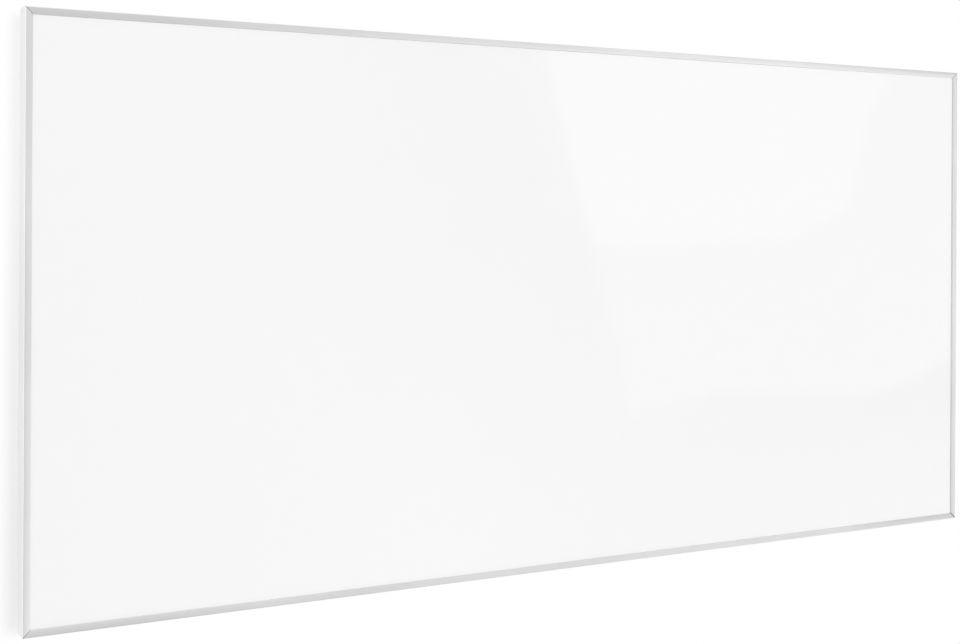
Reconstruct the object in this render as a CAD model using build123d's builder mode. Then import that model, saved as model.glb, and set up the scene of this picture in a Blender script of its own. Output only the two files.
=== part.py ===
"""Infrared panel heater: a gloss white panel in a mitred aluminium frame, lifted onto two wall rails.

Millimetres. +X is to the right seen from the front, +Y points into the wall and +Z is up. The origin is the
centre of the four wall screw holes, which is also the panel's centre, on the wall's face. Depths across the
panel are given as the gap to the wall, so a plane with a gap of 47 is the front of the frame.
"""
from build123d import *
import os

os.makedirs("parts", exist_ok=True)

# ---------------------------------------------------------------- driving dimensions
WIDTH = 1200.0
HEIGHT = 600.0
FRAME_DEPTH = 25.0
STAND_OFF = 22.0
FRONT_GAP = STAND_OFF + FRAME_DEPTH

# frame extrusion, measured inward from its outer face and back from its front edge
SKIN = 1.5
LIP_REACH = 7.0
LIP_FALL = 1.0
LIP_CROWN = 0.2
LIP_BACK = 2.6
CHAMBER_WALL = 1.3
CHAMBER_WIDTH = 7.5
CHAMBER_DEPTH = 9.0
CHAMBER_FRONT = 12.0
ARRIS_RADIUS = 0.7
LIP_EDGE_RADIUS = 0.35
MITRE_GAP = 0.4
OPEN_MITRE_GAP = 0.9

# layers from the front to the back, each lying on the one before
PANEL_THICKNESS = 1.0
HEATING_SHEET_THICKNESS = 0.8
BUSBAR_THICKNESS = 0.3
INSULATING_SHEET_THICKNESS = 0.5
FOIL_THICKNESS = 0.2
BACK_PLATE_THICKNESS = 1.0
BOARD_CLEARANCE = 0.2
POCKET_PLAY = 1.5

# how far each layer stays inside the frame's outer face
PANEL_INSET = 2.2
HEATING_SHEET_INSET = 14.0
INSULATING_SHEET_INSET = 12.0
BOARD_INSET = 11.0
BACK_PLATE_INSET = 2.0
GASKET_INSET = 3.0
GASKET_WIDTH = 6.0
BUSBAR_WIDTH = 8.0
BUSBAR_SHORTER = 20.0

# corner keys and their grub screws
KEY_LEG = 45.0
KEY_CLEARANCE = 0.15
GRUB_RADIUS = 2.0
GRUB_LENGTH = 6.0
GRUB_FIRST = 20.0
GRUB_SECOND = 35.0

# back plate
PLATE_SCREW_INSET = 5.5
PLATE_SCREW_RADIUS = 1.45
PLATE_SCREW_LENGTH = 9.5
PLATE_SCREW_HEAD_RADIUS = 2.9
PLATE_SCREW_HEAD_HEIGHT = 1.5
PLATE_SCREWS_ACROSS = 9
PLATE_SCREWS_UP = 4
PLATE_SCREW_END = 60.0
BEAD_WIDTH = 14.0
BEAD_LENGTH = 420.0
SHORT_BEAD_LENGTH = 330.0
BEAD_RISE = 1.2
BEAD_SPACING = 300.0
BEAD_WALL = 0.5
BEAD_TAPER = 30
PLATE_HOLE_PLAY = 0.2

# wall rails and hanger brackets
SHEET = 1.5
BEND_RADIUS = 1.0
RAIL_LENGTH = 720.0
RAIL_FLANGE = 30.0
RAIL_LIP = 14.0
RAIL_GAP = 8.5
RAIL_CORNER = 3.0
WALL_HOLE_SPACING_X = 600.0
WALL_HOLE_SPACING_Z = 400.0
WALL_HOLE_RADIUS = 2.9
HANGER_WIDTH = 50.0
HANGER_HEIGHT = 36.0
HANGER_LIP = 12.0
HANGER_X = 330.0
HANGER_PLAY = 1.2
HANGER_CORNER = 4.0
HANGER_SCREW_DROP = 14.0
HANGER_SCREW_SPREAD = 28.0

# machine screws of 4 mm
M4_RADIUS = 2.0
M4_CLEARANCE_RADIUS = 2.2
M4_LENGTH = 8.0
M4_HEAD_RADIUS = 4.0
M4_HEAD_HEIGHT = 2.6
M4_NUT_FLATS = 7.0
M4_NUT_HEIGHT = 3.2
THREAD_PLAY = 0.05
HEAD_ROUND = 0.45
CROSS_RECESS_DEPTH = 1.0
CROSS_RECESS_WIDTH = 0.7

# terminal box
BOX_X = 430.0
BOX_Z = -232.0
BOX_WIDTH = 110.0
BOX_HEIGHT = 76.0
BOX_BASE_DEPTH = 17.0
BOX_FLOOR = 2.2
BOX_LID_THICKNESS = 2.0
BOX_CORNER = 5.0
BOSS_RADIUS = 4.0
BOSS_X = 48.0
BOSS_Z = 31.0
LID_SCREW_RADIUS = 1.5
LID_SCREW_HEAD_RADIUS = 2.8
LID_SCREW_HEAD_HEIGHT = 1.2
LID_SCREW_LENGTH = 10.0
SEAL_WIDTH = 1.2
SEAL_INSET = 0.5
RIVET_RADIUS = 1.6
RIVET_HEAD_RADIUS = 3.2
RIVET_HEAD_HEIGHT = 1.0
RIVET_PLACES = ((-38, 29), (-44, -8), (48, -13))

# terminal block
BLOCK_X = 450.0
BLOCK_Z = -235.0
BLOCK_WIDTH = 34.0
BLOCK_HEIGHT = 16.0
BLOCK_DEPTH = 11.0
BLOCK_CORNER = 1.0
POLE_PITCH = 10.0
CLAMP_WIDTH = 6.0
CLAMP_DEPTH = 7.0
CLAMP_LENGTH = 15.0
CLAMP_BORE = 1.7
CLAMP_SCREW_RADIUS = 1.5
CLAMP_SCREW_OFFSET = 4.5
BLOCK_SCREW_RADIUS = 1.1
BLOCK_SCREW_HEAD_RADIUS = 1.9
BLOCK_SCREW_BITE = 1.2

# cable gland and rocker switch, both in the underside of the terminal box
ENTRY_GAP = 14.7
GLAND_X = 450.0
CABLE_BORE = 3.3
GLAND_THREAD_RADIUS = 6.0
GLAND_FLATS = 15.0
GLAND_HEX_HEIGHT = 4.5
LOCKNUT_HEIGHT = 3.5
LOCKNUT_FLATS = 13.0
GLAND_THREAD_END = 1.0
DOME_RADIUS = 7.3
DOME_HEIGHT = 11.0
DOME_ROUND = 2.9
GLAND_SEAL_RADIUS = 4.8
GLAND_SEAL_LENGTH = 8.0
SWITCH_X = 400.0
SWITCH_FACE_X = 15.0
SWITCH_FACE_Y = 10.5
SWITCH_FACE_HEIGHT = 2.0
SWITCH_BODY_X = 13.0
SWITCH_BODY_Y = 8.4
SWITCH_BODY_HEIGHT = 12.0
SWITCH_ROOF = 2.0
SWITCH_FACE_CORNER = 1.0
SWITCH_FACE_ROUND = 0.5
SWITCH_WINDOW_X = 11.6
SWITCH_WINDOW_Y = 7.2
ROCKER_PIVOT_RISE = 0.5
ROCKER_WIDTH = 6.6
ROCKER_HALF_LENGTH = 5.0
ROCKER_PIN_RADIUS = 1.0
ROCKER_PIN_REACH = 4.1
ROCKER_TILT = 10.0
ROCKER_SHOULDER = 1.0
ROCKER_BACK = 2.2
ROCKER_TIP = 3.4
ROCKER_DISH = 2.6
CONTACT_SPREAD = 4.0
CONTACT_LENGTH = 9.0
CONTACT_WIDTH = 3.0
CONTACT_INSIDE = 1.0

# wiring
LEAD_RADIUS = 1.2
LEAD_BEND = 4.5
LEAD_GAP = 16.0
CHANNEL_WIDTH = 10.0
CHANNEL_DEPTH = 10.0
CHANNEL_LEAD_GAP = 30.0
GROMMET_X = 420.0
GROMMET_Z = -212.0
GROMMET_RADIUS = 7.5
GROMMET_BORE = 4.5
GROMMET_NECK = 6.0
GROMMET_LENGTH = 4.0
LEAD_SPREAD = 2.1
CUTOUT_X = 505.0
CUTOUT_RADIUS = 8.0
CUTOUT_HEIGHT = 8.0
CUTOUT_FLANGE_RADIUS = 12.0
CUTOUT_FLANGE_THICKNESS = 0.5
CUTOUT_TAB_SPREAD = 4.0
CUTOUT_TAB_HEIGHT = 5.0
TAB_THICKNESS = 0.8
EARTH_X = 470.0
EARTH_Z = -224.0
LUG_RADIUS = 4.5
LUG_THICKNESS = 0.8
LUG_BARREL_RADIUS = 1.8

# ---------------------------------------------------------------- worked out from them
PANEL_GAP = FRONT_GAP - LIP_BACK
HEATING_SHEET_GAP = PANEL_GAP - PANEL_THICKNESS
BUSBAR_GAP = HEATING_SHEET_GAP - HEATING_SHEET_THICKNESS
INSULATING_SHEET_GAP = BUSBAR_GAP - BUSBAR_THICKNESS
FOIL_GAP = INSULATING_SHEET_GAP - INSULATING_SHEET_THICKNESS
BOARD_GAP = FOIL_GAP - FOIL_THICKNESS
CHAMBER_OUTER_FRONT = CHAMBER_FRONT - CHAMBER_WALL
CHAMBER_BACK = CHAMBER_FRONT + CHAMBER_DEPTH
CHAMBER_OUTER_BACK = CHAMBER_BACK + CHAMBER_WALL
CHAMBER_INNER = SKIN + CHAMBER_WIDTH
CHAMBER_OUTER_INNER = CHAMBER_INNER + CHAMBER_WALL
CHAMBER_MIDDLE = CHAMBER_FRONT + CHAMBER_DEPTH / 2
PLATE_FRONT_GAP = FRONT_GAP - CHAMBER_OUTER_BACK
PLATE_BACK_GAP = PLATE_FRONT_GAP - BACK_PLATE_THICKNESS
BOARD_BACK_GAP = PLATE_FRONT_GAP + BOARD_CLEARANCE
HALF_WIDTH = WIDTH / 2
HALF_HEIGHT = HEIGHT / 2
RAIL_TOP = RAIL_FLANGE / 2 + RAIL_LIP
BOX_FLOOR_GAP = PLATE_BACK_GAP - BOX_FLOOR
BOX_RIM_GAP = PLATE_BACK_GAP - BOX_BASE_DEPTH
BOX_BOTTOM = BOX_Z - BOX_HEIGHT / 2
BUSBAR_X = HALF_WIDTH - HEATING_SHEET_INSET - BUSBAR_WIDTH / 2
PIVOT_Z = BOX_BOTTOM + ROCKER_PIVOT_RISE


def write_piece(piece, name):
    """Label a finished piece and write it under the name of its node."""
    piece.part.label = name
    export_step(piece.part, f"parts/{name}.step")


def facing(gap):
    """Plane parallel to the wall, this far in front of it. A negative extrusion runs towards the wall."""
    return Plane.XZ.offset(gap)


def level(height):
    """Horizontal plane at this height, its normal pointing up."""
    return Plane.XY.offset(height)


def spread(count, reach):
    """Evenly spaced positions from -reach to +reach."""
    return [reach * (2 * i / (count - 1) - 1) for i in range(count)]


# ---------------------------------------------------------------- frame: four mitred bars
# Each bar starts at one corner and runs to the next, clockwise seen from the front.
TOP_LEFT = Vector(-HALF_WIDTH, -FRONT_GAP, HALF_HEIGHT)
TOP_RIGHT = Vector(HALF_WIDTH, -FRONT_GAP, HALF_HEIGHT)
BOTTOM_RIGHT = Vector(HALF_WIDTH, -FRONT_GAP, -HALF_HEIGHT)
BOTTOM_LEFT = Vector(-HALF_WIDTH, -FRONT_GAP, -HALF_HEIGHT)
RIGHT, UP, TO_WALL = Vector(1, 0, 0), Vector(0, 0, 1), Vector(0, 1, 0)
LEFT, DOWN = -RIGHT, -UP

plate_screw_points = [
    (x, side * (HALF_HEIGHT - PLATE_SCREW_INSET))
    for side in (-1, 1)
    for x in spread(PLATE_SCREWS_ACROSS, HALF_WIDTH - PLATE_SCREW_END)
] + [
    (side * (HALF_WIDTH - PLATE_SCREW_INSET), z)
    for side in (-1, 1)
    for z in spread(PLATE_SCREWS_UP, HALF_HEIGHT - PLATE_SCREW_END)
]

frame_bars = (
    ("frame_left", BOTTOM_LEFT, UP, RIGHT, HEIGHT, MITRE_GAP, MITRE_GAP),
    ("frame_top", TOP_LEFT, RIGHT, DOWN, WIDTH, MITRE_GAP, MITRE_GAP),
    ("frame_right", TOP_RIGHT, DOWN, LEFT, HEIGHT, MITRE_GAP, OPEN_MITRE_GAP),
    ("frame_bottom", BOTTOM_RIGHT, LEFT, UP, WIDTH, OPEN_MITRE_GAP, MITRE_GAP),
)
for bar_name, corner, along, inward, length, start_gap, end_gap in frame_bars:
    grub_places = (GRUB_FIRST, GRUB_SECOND, length - GRUB_SECOND, length - GRUB_FIRST)
    far_corner = corner + along * length
    start_normal = (along - inward).normalized()
    end_normal = (-along - inward).normalized()
    with BuildPart() as frame_bar:
        with BuildSketch(Plane(origin=corner, x_dir=inward, z_dir=along)):
            with BuildLine():
                ThreePointArc((0, 0), (LIP_REACH / 2, LIP_FALL / 2 - LIP_CROWN), (LIP_REACH, LIP_FALL))
                Polyline(
                    (LIP_REACH, LIP_FALL),
                    (LIP_REACH, LIP_BACK),
                    (SKIN, LIP_BACK),
                    (SKIN, CHAMBER_OUTER_FRONT),
                    (CHAMBER_OUTER_INNER, CHAMBER_OUTER_FRONT),
                    (CHAMBER_OUTER_INNER, CHAMBER_OUTER_BACK),
                    (SKIN, CHAMBER_OUTER_BACK),
                    (SKIN, FRAME_DEPTH),
                    (0, FRAME_DEPTH),
                    (0, 0),
                )
            make_face()
            fillet(vertices().sort_by_distance((0, 0))[0], ARRIS_RADIUS)
            fillet(vertices().sort_by_distance((LIP_REACH, LIP_FALL))[0], LIP_EDGE_RADIUS)
            with Locations((SKIN + CHAMBER_WIDTH / 2, CHAMBER_MIDDLE)):
                Rectangle(CHAMBER_WIDTH, CHAMBER_DEPTH, mode=Mode.SUBTRACT)
        extrude(amount=length)
        for end, normal, gap in ((corner, start_normal, start_gap), (far_corner, end_normal, end_gap)):
            split(bisect_by=Plane(origin=end + normal * (gap / 2), z_dir=normal), keep=Keep.TOP)
        with BuildSketch(Plane(origin=corner + inward * CHAMBER_INNER, x_dir=along, z_dir=inward)):
            with Locations([(place, -CHAMBER_MIDDLE) for place in grub_places]):
                Circle(GRUB_RADIUS + THREAD_PLAY)
        extrude(amount=CHAMBER_WALL, mode=Mode.SUBTRACT)
        with BuildSketch(facing(PLATE_FRONT_GAP)):
            with Locations(plate_screw_points):
                Circle(PLATE_SCREW_RADIUS + THREAD_PLAY)
        extrude(amount=CHAMBER_WALL, mode=Mode.SUBTRACT)
    write_piece(frame_bar, bar_name)

# ---------------------------------------------------------------- corner keys and grub screws
corners = (
    ("top_left", TOP_LEFT, RIGHT, DOWN),
    ("top_right", TOP_RIGHT, LEFT, DOWN),
    ("bottom_right", BOTTOM_RIGHT, LEFT, UP),
    ("bottom_left", BOTTOM_LEFT, RIGHT, UP),
)
key_near = SKIN + KEY_CLEARANCE
key_far = CHAMBER_INNER - KEY_CLEARANCE
key_front_gap = FRONT_GAP - CHAMBER_FRONT - KEY_CLEARANCE
key_depth = CHAMBER_DEPTH - 2 * KEY_CLEARANCE
grub_tip = CHAMBER_OUTER_INNER + THREAD_PLAY - GRUB_LENGTH


def key_outline(across, up):
    """Corners of the L of one key, its legs running inward from the corner of the frame."""
    inset = ((key_near, key_near), (KEY_LEG, key_near), (KEY_LEG, key_far))
    outline = inset + ((key_far, key_far),) + tuple((b, a) for a, b in reversed(inset[1:]))
    return [(across * (a - HALF_WIDTH), up * (b - HALF_HEIGHT)) for a, b in outline]


for corner_name, corner, across, up in corners:
    with BuildPart() as corner_key:
        with BuildSketch(facing(key_front_gap)):
            Polygon(*key_outline(across.X, up.Z), align=None)
        extrude(amount=-key_depth)
        for along, inward in ((across, up), (up, across)):
            with BuildSketch(Plane(origin=corner + inward * key_far, x_dir=TO_WALL, z_dir=-inward)):
                turn = along.dot(TO_WALL.cross(inward))
                with Locations([(CHAMBER_MIDDLE, turn * place) for place in (GRUB_FIRST, GRUB_SECOND)]):
                    Circle(GRUB_RADIUS + THREAD_PLAY)
            extrude(amount=key_far - grub_tip + THREAD_PLAY, mode=Mode.SUBTRACT)
    write_piece(corner_key, f"corner_key_{corner_name}")

with BuildPart() as corner_grub_screws:
    for corner_name, corner, across, up in corners:
        for along, inward in ((across, up), (up, across)):
            for place in (GRUB_FIRST, GRUB_SECOND):
                foot = corner + along * place + inward * grub_tip + TO_WALL * CHAMBER_MIDDLE
                with BuildSketch(Plane(origin=foot, z_dir=inward)):
                    Circle(GRUB_RADIUS)
                extrude(amount=GRUB_LENGTH)
                with BuildSketch(Plane(origin=foot + inward * GRUB_LENGTH, z_dir=-inward)):
                    RegularPolygon(GRUB_RADIUS / 2, 6, major_radius=False)
                extrude(amount=GRUB_LENGTH / 3, mode=Mode.SUBTRACT)
write_piece(corner_grub_screws, "corner_grub_screws")

# ---------------------------------------------------------------- panel, heating layers and insulation
with BuildPart() as front_panel:
    with BuildSketch(facing(PANEL_GAP)):
        Rectangle(WIDTH - 2 * PANEL_INSET, HEIGHT - 2 * PANEL_INSET)
    extrude(amount=-PANEL_THICKNESS)
write_piece(front_panel, "front_panel")

gasket_outer_x = WIDTH - 2 * GASKET_INSET
gasket_outer_z = HEIGHT - 2 * GASKET_INSET
with BuildPart() as edge_gasket:
    with BuildSketch(facing(HEATING_SHEET_GAP)):
        with Locations([(0, side * (gasket_outer_z - GASKET_WIDTH) / 2) for side in (-1, 1)]):
            Rectangle(gasket_outer_x, GASKET_WIDTH)
        with Locations([(side * (gasket_outer_x - GASKET_WIDTH) / 2, 0) for side in (-1, 1)]):
            Rectangle(GASKET_WIDTH, gasket_outer_z - 2 * GASKET_WIDTH - 2 * THREAD_PLAY)
    extrude(amount=HEATING_SHEET_GAP - FRONT_GAP + CHAMBER_OUTER_FRONT, dir=(0, 1, 0))
write_piece(edge_gasket, "edge_gasket")

with BuildPart() as heating_sheet:
    with BuildSketch(facing(HEATING_SHEET_GAP)):
        Rectangle(WIDTH - 2 * HEATING_SHEET_INSET, HEIGHT - 2 * HEATING_SHEET_INSET)
    extrude(amount=-HEATING_SHEET_THICKNESS)
write_piece(heating_sheet, "heating_sheet")

for side, side_name in ((-1, "left"), (1, "right")):
    with BuildPart() as busbar:
        with BuildSketch(facing(BUSBAR_GAP)):
            with Locations((side * BUSBAR_X, 0)):
                Rectangle(BUSBAR_WIDTH, HEIGHT - 2 * HEATING_SHEET_INSET - BUSBAR_SHORTER)
        extrude(amount=-BUSBAR_THICKNESS)
    write_piece(busbar, f"busbar_{side_name}")

lead_holes = (
    (-BUSBAR_X, GROMMET_Z + LEAD_SPREAD),
    (BUSBAR_X, GROMMET_Z - LEAD_SPREAD),
)
sheet_outline = (WIDTH - 2 * INSULATING_SHEET_INSET, HEIGHT - 2 * INSULATING_SHEET_INSET)
for sheet_name, sheet_gap, thickness in (
    ("insulating_sheet", INSULATING_SHEET_GAP, INSULATING_SHEET_THICKNESS),
    ("reflector_foil", FOIL_GAP, FOIL_THICKNESS),
):
    with BuildPart() as thin_sheet:
        with BuildSketch(facing(sheet_gap)):
            Rectangle(*sheet_outline)
            with Locations(lead_holes):
                Circle(2 * LEAD_RADIUS, mode=Mode.SUBTRACT)
        extrude(amount=-thickness)
    write_piece(thin_sheet, sheet_name)

hanger_levels = (("upper", WALL_HOLE_SPACING_Z / 2), ("lower", -WALL_HOLE_SPACING_Z / 2))
hanger_sides = (("left", -HANGER_X), ("right", HANGER_X))
hanger_screw_points = [
    (x + side * HANGER_SCREW_SPREAD / 2, z + RAIL_TOP - HANGER_SCREW_DROP)
    for _, z in hanger_levels
    for _, x in hanger_sides
    for side in (-1, 1)
]
with BuildPart() as insulation_board:
    with BuildSketch(facing(BOARD_GAP)):
        Rectangle(WIDTH - 2 * BOARD_INSET, HEIGHT - 2 * BOARD_INSET)
        with Locations(lead_holes):
            Circle(2 * LEAD_RADIUS, mode=Mode.SUBTRACT)
        with Locations((CUTOUT_X, GROMMET_Z)):
            Circle(CUTOUT_FLANGE_RADIUS + POCKET_PLAY, mode=Mode.SUBTRACT)
    extrude(amount=BOARD_BACK_GAP - BOARD_GAP)
    with BuildSketch(facing(BOARD_BACK_GAP)):
        with Locations((0, GROMMET_Z)):
            Rectangle(2 * (BUSBAR_X + LEAD_BEND), CHANNEL_WIDTH)
        with Locations((GROMMET_X, GROMMET_Z)):
            Circle(GROMMET_RADIUS + POCKET_PLAY)
        with Locations(hanger_screw_points + [(EARTH_X, EARTH_Z)]):
            Circle(M4_NUT_FLATS / 2 + POCKET_PLAY)
    extrude(amount=CHANNEL_DEPTH, mode=Mode.SUBTRACT)
write_piece(insulation_board, "insulation_board")

# ---------------------------------------------------------------- back plate with pressed beads
bead_places = [(column * BEAD_SPACING, 0) for column in (-1.5, -0.5, 0.5)]
short_bead_place = (1.5 * BEAD_SPACING, (BEAD_LENGTH - SHORT_BEAD_LENGTH) / 2)
rivet_points = [(BOX_X + x, BOX_Z + z) for x, z in RIVET_PLACES]
with BuildPart() as back_plate:
    with BuildSketch(facing(PLATE_FRONT_GAP)):
        Rectangle(WIDTH - 2 * BACK_PLATE_INSET, HEIGHT - 2 * BACK_PLATE_INSET)
    extrude(amount=-BACK_PLATE_THICKNESS)
    with BuildSketch(facing(PLATE_BACK_GAP)):
        with Locations(bead_places):
            SlotOverall(BEAD_LENGTH, BEAD_WIDTH, rotation=90)
        with Locations(short_bead_place):
            SlotOverall(SHORT_BEAD_LENGTH, BEAD_WIDTH, rotation=90)
    extrude(amount=-BEAD_RISE, taper=BEAD_TAPER)
    with BuildSketch(facing(PLATE_FRONT_GAP)):
        with Locations(bead_places):
            SlotOverall(BEAD_LENGTH - 2 * BEAD_WALL, BEAD_WIDTH - 2 * BEAD_WALL, rotation=90)
        with Locations(short_bead_place):
            SlotOverall(SHORT_BEAD_LENGTH - 2 * BEAD_WALL, BEAD_WIDTH - 2 * BEAD_WALL, rotation=90)
    extrude(amount=-BEAD_RISE, taper=BEAD_TAPER, mode=Mode.SUBTRACT)
    with BuildSketch(facing(PLATE_FRONT_GAP)):
        with Locations(plate_screw_points):
            Circle(PLATE_SCREW_RADIUS + PLATE_HOLE_PLAY)
        with Locations(hanger_screw_points + [(EARTH_X, EARTH_Z)]):
            Circle(M4_CLEARANCE_RADIUS)
        with Locations(rivet_points):
            Circle(RIVET_RADIUS + THREAD_PLAY)
        with Locations((GROMMET_X, GROMMET_Z)):
            Circle(GROMMET_NECK)
    extrude(amount=-BACK_PLATE_THICKNESS, mode=Mode.SUBTRACT)
write_piece(back_plate, "back_plate")


def driven_screws(places, seat_gap, shank_radius, shank_length, head_radius, head_height):
    """Screws driven from the wall side: a shank through the seat, a domed head on it and a cross recess."""
    with BuildPart() as screws:
        with BuildSketch(facing(seat_gap)):
            with Locations(places):
                Circle(shank_radius)
        extrude(amount=shank_length)
        with BuildSketch(facing(seat_gap)):
            with Locations(places):
                Circle(head_radius)
        extrude(amount=-head_height)
        fillet(edges().filter_by(GeomType.CIRCLE).group_by(Axis.Y)[-1], head_height * HEAD_ROUND)
        with BuildSketch(facing(seat_gap - head_height)):
            with Locations(places):
                Rectangle(head_radius, CROSS_RECESS_WIDTH)
                Rectangle(CROSS_RECESS_WIDTH, head_radius)
        extrude(amount=min(CROSS_RECESS_DEPTH, head_height / 2), mode=Mode.SUBTRACT)
    return screws


back_plate_screws = driven_screws(plate_screw_points, PLATE_BACK_GAP, PLATE_SCREW_RADIUS, PLATE_SCREW_LENGTH,
                                  PLATE_SCREW_HEAD_RADIUS, PLATE_SCREW_HEAD_HEIGHT)
write_piece(back_plate_screws, "back_plate_screws")

# ---------------------------------------------------------------- wall rails and the hangers that sit on them
for level_name, hole_z in hanger_levels:
    foot, web = hole_z - RAIL_FLANGE / 2, hole_z + RAIL_FLANGE / 2
    with BuildPart() as wall_rail:
        with BuildSketch(Plane.YZ.offset(-RAIL_LENGTH / 2)):
            with BuildLine():
                FilletPolyline((0, foot), (0, web), (-RAIL_GAP, web), (-RAIL_GAP, hole_z + RAIL_TOP),
                               radius=[BEND_RADIUS + SHEET, BEND_RADIUS])
                offset(amount=SHEET, side=Side.LEFT)
            make_face()
        extrude(amount=RAIL_LENGTH)
        corner_edges = edges().filter_by(Axis.Y).group_by(SortBy.LENGTH)[0]
        fillet(corner_edges, RAIL_CORNER)
        with BuildSketch(facing(0)):
            with Locations([(side * WALL_HOLE_SPACING_X / 2, hole_z) for side in (-1, 1)]):
                Circle(WALL_HOLE_RADIUS)
        extrude(amount=SHEET, mode=Mode.SUBTRACT)
    write_piece(wall_rail, f"wall_rail_{level_name}")

hanger_lip_gap = RAIL_GAP - HANGER_PLAY - SHEET
for level_name, hole_z in hanger_levels:
    seat = hole_z + RAIL_TOP
    top = seat + SHEET
    for side_name, hanger_x in hanger_sides:
        with BuildPart() as hanger:
            with BuildSketch(Plane.YZ.offset(hanger_x - HANGER_WIDTH / 2)):
                with BuildLine():
                    FilletPolyline((-PLATE_BACK_GAP, top - HANGER_HEIGHT), (-PLATE_BACK_GAP, top),
                                   (-hanger_lip_gap, top), (-hanger_lip_gap, seat - HANGER_LIP),
                                   radius=BEND_RADIUS + SHEET)
                    offset(amount=SHEET, side=Side.RIGHT)
                make_face()
            extrude(amount=HANGER_WIDTH)
            corner_edges = edges().filter_by(Axis.Y).group_by(SortBy.LENGTH)[0]
            fillet(corner_edges, HANGER_CORNER)
            with BuildSketch(facing(PLATE_BACK_GAP)):
                with Locations(hanger_screw_points):
                    Circle(M4_CLEARANCE_RADIUS)
            extrude(amount=-SHEET, mode=Mode.SUBTRACT)
        write_piece(hanger, f"hanger_{level_name}_{side_name}")

with BuildPart() as hanger_nuts:
    with BuildSketch(facing(PLATE_FRONT_GAP)):
        with Locations(hanger_screw_points):
            RegularPolygon(M4_NUT_FLATS / 2, 6, major_radius=False)
            Circle(M4_RADIUS + THREAD_PLAY, mode=Mode.SUBTRACT)
    extrude(amount=M4_NUT_HEIGHT)
write_piece(hanger_nuts, "hanger_nuts")

hanger_screws = driven_screws(hanger_screw_points, PLATE_BACK_GAP - SHEET, M4_RADIUS, M4_LENGTH,
                              M4_HEAD_RADIUS, M4_HEAD_HEIGHT)
write_piece(hanger_screws, "hanger_screws")

# ---------------------------------------------------------------- terminal box, behind the lower right
boss_points = [(BOX_X + a * BOSS_X, BOX_Z + b * BOSS_Z) for a in (-1, 1) for b in (-1, 1)]
block_screw_points = [(BLOCK_X + side * POLE_PITCH / 2, BLOCK_Z) for side in (-1, 1)]
with BuildPart() as terminal_box_base:
    with BuildSketch(facing(PLATE_BACK_GAP)):
        with Locations((BOX_X, BOX_Z)):
            RectangleRounded(BOX_WIDTH, BOX_HEIGHT, BOX_CORNER)
    extrude(amount=-BOX_BASE_DEPTH)
    with BuildSketch(facing(BOX_FLOOR_GAP)):
        with Locations((BOX_X, BOX_Z)):
            RectangleRounded(BOX_WIDTH - 2 * BOX_FLOOR, BOX_HEIGHT - 2 * BOX_FLOOR, BOX_CORNER - BOX_FLOOR)
        with Locations(boss_points):
            Circle(BOSS_RADIUS, mode=Mode.SUBTRACT)
    extrude(amount=-(BOX_BASE_DEPTH - BOX_FLOOR), mode=Mode.SUBTRACT)
    with BuildSketch(facing(BOX_RIM_GAP)):
        with Locations(boss_points):
            Circle(LID_SCREW_RADIUS + THREAD_PLAY)
    extrude(amount=LID_SCREW_LENGTH + THREAD_PLAY, mode=Mode.SUBTRACT)
    with BuildSketch(facing(PLATE_BACK_GAP)):
        with Locations((GROMMET_X, GROMMET_Z)):
            Circle(GROMMET_RADIUS + 2 * THREAD_PLAY)
        with Locations((EARTH_X, EARTH_Z + LUG_RADIUS)):
            SlotOverall(6 * LUG_RADIUS, 2 * (LUG_RADIUS + SEAL_INSET), rotation=90)
        with Locations(rivet_points):
            Circle(RIVET_RADIUS + THREAD_PLAY)
    extrude(amount=-BOX_FLOOR, mode=Mode.SUBTRACT)
    with BuildSketch(facing(BOX_FLOOR_GAP)):
        with Locations(block_screw_points):
            Circle(BLOCK_SCREW_RADIUS + THREAD_PLAY)
    extrude(amount=BLOCK_SCREW_BITE + THREAD_PLAY, mode=Mode.SUBTRACT)
    with BuildSketch(level(BOX_BOTTOM)):
        with Locations((GLAND_X, -ENTRY_GAP)):
            Circle(GLAND_THREAD_RADIUS + THREAD_PLAY)
        with Locations((SWITCH_X, -ENTRY_GAP)):
            Rectangle(SWITCH_BODY_X + 2 * THREAD_PLAY, SWITCH_BODY_Y + 2 * THREAD_PLAY)
    extrude(amount=BOX_FLOOR, mode=Mode.SUBTRACT)
write_piece(terminal_box_base, "terminal_box_base")

lid_rim_width = BOX_WIDTH - 2 * BOX_FLOOR - 2 * SEAL_INSET
lid_rim_height = BOX_HEIGHT - 2 * BOX_FLOOR - 2 * SEAL_INSET
rim_corner = BOX_CORNER - BOX_FLOOR - SEAL_INSET
with BuildPart() as terminal_box_seal:
    with BuildSketch(facing(BOX_RIM_GAP)):
        with Locations((BOX_X, BOX_Z)):
            RectangleRounded(lid_rim_width, lid_rim_height, rim_corner)
            RectangleRounded(lid_rim_width - 2 * SEAL_WIDTH, lid_rim_height - 2 * SEAL_WIDTH,
                             rim_corner - SEAL_WIDTH, mode=Mode.SUBTRACT)
        with Locations(boss_points):
            Circle(BOSS_RADIUS + THREAD_PLAY, mode=Mode.SUBTRACT)
    extrude(amount=SEAL_WIDTH)
write_piece(terminal_box_seal, "terminal_box_seal")

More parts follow.
